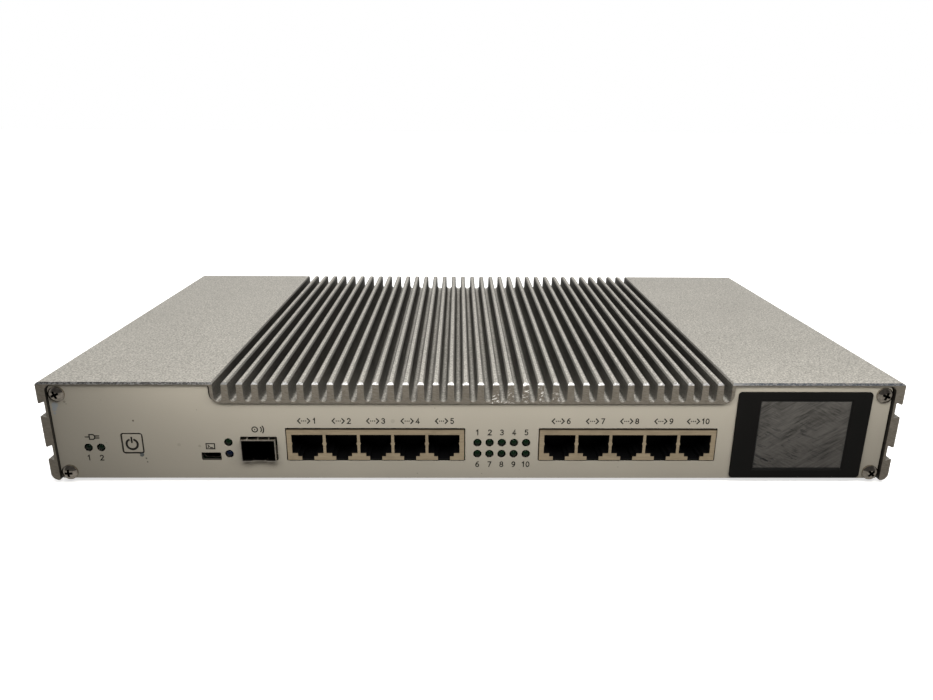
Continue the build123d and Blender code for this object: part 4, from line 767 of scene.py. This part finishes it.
class Print:
    """Ink on a panel: strokes and numbers in (u, v), u to the reader's right and v up."""

    def __init__(self, name, face_y, to_front, body="case"):
        self.name = name
        self.body = body
        self.bm = bmesh.new()
        across = Vector((1, 0, 0)) if to_front else Vector((-1, 0, 0))
        out = Vector((0, -1, 0)) if to_front else Vector((0, 1, 0))
        turn = Matrix((across, Vector((0, 0, 1)), out)).transposed().to_4x4()
        self.place = Matrix.Translation((0, face_y, 0)) @ turn

    def section_pairs(self, points, width, closed):
        """Left and right edges of a stroke, with mitred turns and round ends."""
        half = width / 2
        count = len(points)
        pairs = []
        for i, point in enumerate(points):
            before = points[i - 1] if closed or i else None
            after = points[(i + 1) % count] if closed or i < count - 1 else None
            steps = [(b - a).normalized() for a, b in ((before, point), (point, after)) if a and b]
            along = sum(steps, Vector((0, 0))).normalized()
            side = Vector((-along.y, along.x))
            reach = half / max(MITRE_LEAST, along.dot(steps[0]))
            pairs.append((point + side * reach, point - side * reach))
        if closed:
            return pairs
        first, last = points[0] - points[1], points[-1] - points[-2]
        start = self.cap(points[0], first, half)[::-1]
        end = [pair[::-1] for pair in self.cap(points[-1], last, half)]
        return start + pairs + end

    def cap(self, point, out, half):
        """Edges of a round end, from the stroke outwards."""
        out = out.normalized()
        side = Vector((out.y, -out.x))
        pairs = []
        for i in range(1, CAP_STEPS + 1):
            angle = CAP_TURN * i / CAP_STEPS
            middle = point + out * half * math.sin(angle)
            wide = side * half * math.cos(angle)
            pairs.append((middle + wide, middle - wide))
        return pairs

    def stroke(self, points, width, closed=False):
        """One line of ink of even width, as a closed solid."""
        pairs = self.section_pairs([Vector(p) * MM for p in points], width * MM, closed)
        rings = []
        for left, right in pairs:
            corners = [(left, INK_THICK), (right, INK_THICK), (right, 0), (left, 0)]
            rings.append([self.bm.verts.new(self.place @ Vector((p.x, p.y, h))) for p, h in corners])
        spans = list(zip(rings, rings[1:])) + ([(rings[-1], rings[0])] if closed else [])
        for a, b in spans:
            for i in range(4):
                j = (i + 1) % 4
                self.bm.faces.new((a[i], a[j], b[j], b[i]))
        if not closed:
            self.bm.faces.new(rings[0][::-1])
            self.bm.faces.new(rings[-1])

    def bar(self, start, end, width=LINE):
        self.stroke([start, end], width)

    def dot(self, at, width):
        self.bar((at[0] - DOT_HALF, at[1]), (at[0] + DOT_HALF, at[1]), width)

    def ring(self, centre, radius, width, start=0.0, end=360.0, steps=40):
        """An arc clockwise from the top, in degrees, or a whole circle."""
        whole = end - start >= 360
        points = arc(centre, (radius, radius), start, end, steps)
        self.stroke(points[:-1] if whole else points, width, closed=whole)

    def number(self, text, at, height):
        """A number, centred on at[0], standing on at[1]."""
        start = at[0] - (len(text) - 1) * DIGIT_STEP * height / 2
        for i, digit in enumerate(text):
            x = start + i * DIGIT_STEP * height
            for points, closed in DIGITS[digit]:
                self.stroke([(x + u * height, at[1] + v * height) for u, v in points], DIGIT_LINE, closed)

    def finish(self, material):
        bmesh.ops.remove_doubles(self.bm, verts=self.bm.verts, dist=WELD)
        bmesh.ops.recalc_face_normals(self.bm, faces=self.bm.faces)
        mesh = bpy.data.meshes.new(self.name)
        self.bm.to_mesh(mesh)
        self.bm.free()
        mesh.materials.append(material)
        piece = bpy.data.objects.new(self.name, mesh)
        bpy.context.scene.collection.objects.link(piece)
        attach(piece, self.body)


# Where the print is, in mm. STAND is the height of the panels' own zero.
STAND = CAD_BOX[0].z / MM + 1.4
PORT_ROW_X = 11.9
JACK_OFFSET = 51.7
PORT_PITCH = 13.97
PORT_SIGN_Z = STAND + 26.0
PORT_NUMBER = dict(dx=3.35, z=STAND + 24.95, height=2.15)
LAMP_ROW_X = 1.9
LAMP_PITCH = 5
LAMP_NUMBER_ZS = (STAND + 19.9, STAND + 5.5)
SUPPLY_SIGN_AT = (-154.9, STAND + 18.8)
SUPPLY_XS = (-157.6, -152.4)
SUPPLY_NUMBER_Z = STAND + 8.4
FRONT_NUMBER_HEIGHT = 2.2
CONSOLE_SIGN_AT = (-107.5, STAND + 14.7)
OPTICAL_SIGN_AT = (-87.5, STAND + 22.2)
POWER_SIGN_AT = (-139.25, STAND + 15.6)
POWER_RING = dict(radius=2.25, width=0.88, start=28, end=332, steps=36)
POWER_BAR = dict(low=0.8, high=3.0, width=0.72)
INLET_X = 137.0
INLET_SIGN_Z = STAND + 33.0
INLET_NUMBER = dict(dx=3.6, z=STAND + 31.7, height=2.8)
EARTH_X = -8.5
EARTH_Z = STAND + 11.8


def plug_sign(page, x, z, size=1.0):
    """A mains plug lying on its side: cord, body and two prongs."""
    def at(dx, dz):
        return x + dx * size, z + dz * size
    page.bar(at(-3.0, 0), at(-1.3, 0))
    page.stroke([at(-1.3, -1.05), at(0.3, -1.05), at(0.9, -0.5), at(0.9, 0.5), at(0.3, 1.05), at(-1.3, 1.05)],
                LINE, closed=True)
    for dz in (-0.45, 0.45):
        page.bar(at(1.1, dz), at(2.6, dz))


def network_sign(page, x, z):
    """Two angle brackets with three dots between: a wired network."""
    for way in (-1, 1):
        page.stroke([(x + way * 1.5, z + 1.05), (x + way * 2.45, z), (x + way * 1.5, z - 1.05)], LINE)
    for dx in (-0.8, 0.0, 0.8):
        page.dot((x + dx, z), 0.52)


def console_sign(page, x, z):
    """A small screen with a prompt: the service port."""
    page.stroke([(x - 1.7, z - 1.15), (x + 1.7, z - 1.15), (x + 1.7, z + 1.15), (x - 1.7, z + 1.15)],
                LINE * 0.9, closed=True)
    page.stroke([(x - 1.0, z + 0.5), (x - 0.45, z), (x - 1.0, z - 0.5)], LINE * 0.8)
    page.bar((x - 0.1, z - 0.55), (x + 0.8, z - 0.55), LINE * 0.8)


def optical_sign(page, x, z):
    """The end of a fibre and the light that leaves it."""
    page.ring((x - 1.3, z), 1.1, LINE)
    page.dot((x - 1.3, z), 0.6)
    for radius in (1.7, 2.6):
        page.ring((x - 0.3, z), radius, LINE, 55, 125, 10)


def earth_sign(page, x, z):
    """A ring round a stem and three shorter and shorter bars."""
    for width, dz in ((3.0, 0.0), (1.9, -0.7), (0.8, -1.4)):
        page.bar((x - width / 2, z + dz), (x + width / 2, z + dz), 0.3)
    page.bar((x, z + 2.1), (x, z), 0.3)
    page.ring((x, z + 0.3), 2.7, 0.28)


def front_print(material):
    """Signs and numbers on the front panel."""
    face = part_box("front_panel")[0].y
    ports = Print("port_numbers_print", face, True)
    number = 0
    for jack in (-1, 1):
        for i in range(5):
            number += 1
            x = PORT_ROW_X + jack * JACK_OFFSET + (i - 2) * PORT_PITCH
            wide = 1.2 if number > 9 else 0.6
            network_sign(ports, x - wide - 0.35, PORT_SIGN_Z)
            ports.number(str(number), (x + PORT_NUMBER["dx"], PORT_NUMBER["z"]), PORT_NUMBER["height"])
    ports.finish(material)
    lamps = Print("lamp_numbers_print", face, True)
    for i in range(5):
        for row, z in enumerate(LAMP_NUMBER_ZS):
            lamps.number(str(i + 1 + 5 * row), (LAMP_ROW_X + LAMP_PITCH * i, z), FRONT_NUMBER_HEIGHT)
    lamps.finish(material)
    supply = Print("supply_print", face, True)
    plug_sign(supply, *SUPPLY_SIGN_AT)
    for text, x in zip("12", SUPPLY_XS):
        supply.number(text, (x, SUPPLY_NUMBER_Z), FRONT_NUMBER_HEIGHT)
    supply.finish(material)
    signs = Print("port_signs_print", face, True)
    console_sign(signs, *CONSOLE_SIGN_AT)
    optical_sign(signs, *OPTICAL_SIGN_AT)
    signs.finish(material)


def power_sign(material):
    """The ring and bar on the power button, which move with it."""
    sign = Print("power_sign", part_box("power_button")[0].y, True, "button")
    x, z = POWER_SIGN_AT
    sign.ring(POWER_SIGN_AT, **POWER_RING)
    sign.bar((x, z + POWER_BAR["low"]), (x, z + POWER_BAR["high"]), POWER_BAR["width"])
    sign.finish(material)


def rear_print(material):
    """Numbers by the two inlets and the earth sign by its screw."""
    back = Print("rear_signs_print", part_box("rear_panel")[1].y, False)
    for text, x in (("1", INLET_X), ("2", -INLET_X)):
        plug_sign(back, x - 1.4, INLET_SIGN_Z, 1.1)
        back.number(text, (x + INLET_NUMBER["dx"], INLET_NUMBER["z"]), INLET_NUMBER["height"])
    earth_sign(back, EARTH_X, EARTH_Z)
    back.finish(material)


# ---- display film ----------------------------------------------------------------------

FILM_INSET = 1.25 * MM
FILM_CELL = 0.3 * MM
FILM_BACK = 0.005 * MM
FILM_BASE = 0.03 * MM
FILM_RISE = 0.09 * MM
FILM_EDGE_CELLS = 4
FILM_SEED = 7
# Creases: their number, the share that rise to the right, and the ranges of each one's measures.
RUBS = 34
RUBS_RISING = 0.62
RISING_ANGLE = (22, 40)
FALLING_ANGLE = (-34, -18)
FALLING_UP_TO = 0.6
RUB_LENGTH = (1.5, 6.0)
RUB_WIDTH = (0.12, 0.4)
RUB_HEIGHT = (0.3, 1.0)
RUB_WAVE = 0.35


def draw_rubs(x0, x1, z0, z1):
    """Creases strewn over the film: middle, angle, length, width and height."""
    draw = random.Random(FILM_SEED)
    rubs = []
    for _ in range(RUBS):
        rising = draw.random() < RUBS_RISING
        angle = math.radians(draw.uniform(*(RISING_ANGLE if rising else FALLING_ANGLE)))
        cz = draw.uniform(z0, z1) if rising else draw.uniform(z0, z0 + FALLING_UP_TO * (z1 - z0))
        rubs.append((draw.uniform(x0, x1), cz, angle, draw.uniform(*RUB_LENGTH) * MM,
                     draw.uniform(*RUB_WIDTH) * MM, draw.uniform(*RUB_HEIGHT)))
    return rubs


def film_height(x, z, rubs):
    """How far the film stands off the glass, 0 to 1: flat, with low slanting creases."""
    height = 0.0
    for cx, cz, angle, length, width, rise in rubs:
        dx, dz = x - cx, z - cz
        along = dx * math.cos(angle) + dz * math.sin(angle)
        across = -dx * math.sin(angle) + dz * math.cos(angle)
        across += RUB_WAVE * width * math.sin(along / width * RUB_WAVE)
        height += rise * math.exp(-(along / length) ** 2 - (across / width) ** 2)
    return min(1.0, height)


def display_film_piece(material):
    """The protective film left on the display, as a thin closed sheet with creases."""
    low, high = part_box("display_window")
    x0, x1 = low.x + FILM_INSET, high.x - FILM_INSET
    z0, z1 = low.z + FILM_INSET, high.z - FILM_INSET
    rubs = draw_rubs(x0, x1, z0, z1)
    columns = round((x1 - x0) / FILM_CELL)
    rows = round((z1 - z0) / FILM_CELL)
    bm = bmesh.new()
    front, back = [], []
    for j in range(rows + 1):
        for i in range(columns + 1):
            x = x0 + (x1 - x0) * i / columns
            z = z0 + (z1 - z0) * j / rows
            edge = min(1.0, min(i, columns - i, j, rows - j) / FILM_EDGE_CELLS)
            stand = FILM_BASE + FILM_RISE * film_height(x, z, rubs) * edge
            front.append(bm.verts.new((x, low.y - stand, z)))
            back.append(bm.verts.new((x, low.y - FILM_BACK, z)))
    across = columns + 1
    for j in range(rows):
        for i in range(columns):
            a, b = j * across + i, j * across + i + 1
            c, d = b + across, a + across
            bm.faces.new((front[a], front[b], front[c], front[d]))
            bm.faces.new((back[d], back[c], back[b], back[a]))
    rim = list(range(columns))
    rim += [j * across + columns for j in range(rows)]
    rim += [rows * across + i for i in range(columns, 0, -1)]
    rim += [j * across for j in range(rows, 0, -1)]
    for a, b in zip(rim, rim[1:] + rim[:1]):
        bm.faces.new((front[b], front[a], back[a], back[b]))
    bmesh.ops.recalc_face_normals(bm, faces=bm.faces)
    for face in bm.faces:
        face.smooth = abs(face.normal.y) > 0.7
    mesh = bpy.data.meshes.new("display_film")
    bm.to_mesh(mesh)
    bm.free()
    mesh.materials.append(material)
    film = bpy.data.objects.new("display_film", mesh)
    bpy.context.scene.collection.objects.link(film)
    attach(film, "case")


# ---- scene -----------------------------------------------------------------------------

bpy.context.scene.view_settings.view_transform = "Standard"
place_camera()
make_world()
make_floor()
for name, lamp in LAMPS.items():
    softbox(name, **lamp)
dress_nodes(make_materials())
print_ink = ink()
front_print(print_ink)
power_sign(print_ink)
rear_print(print_ink)
display_film_piece(display_film())
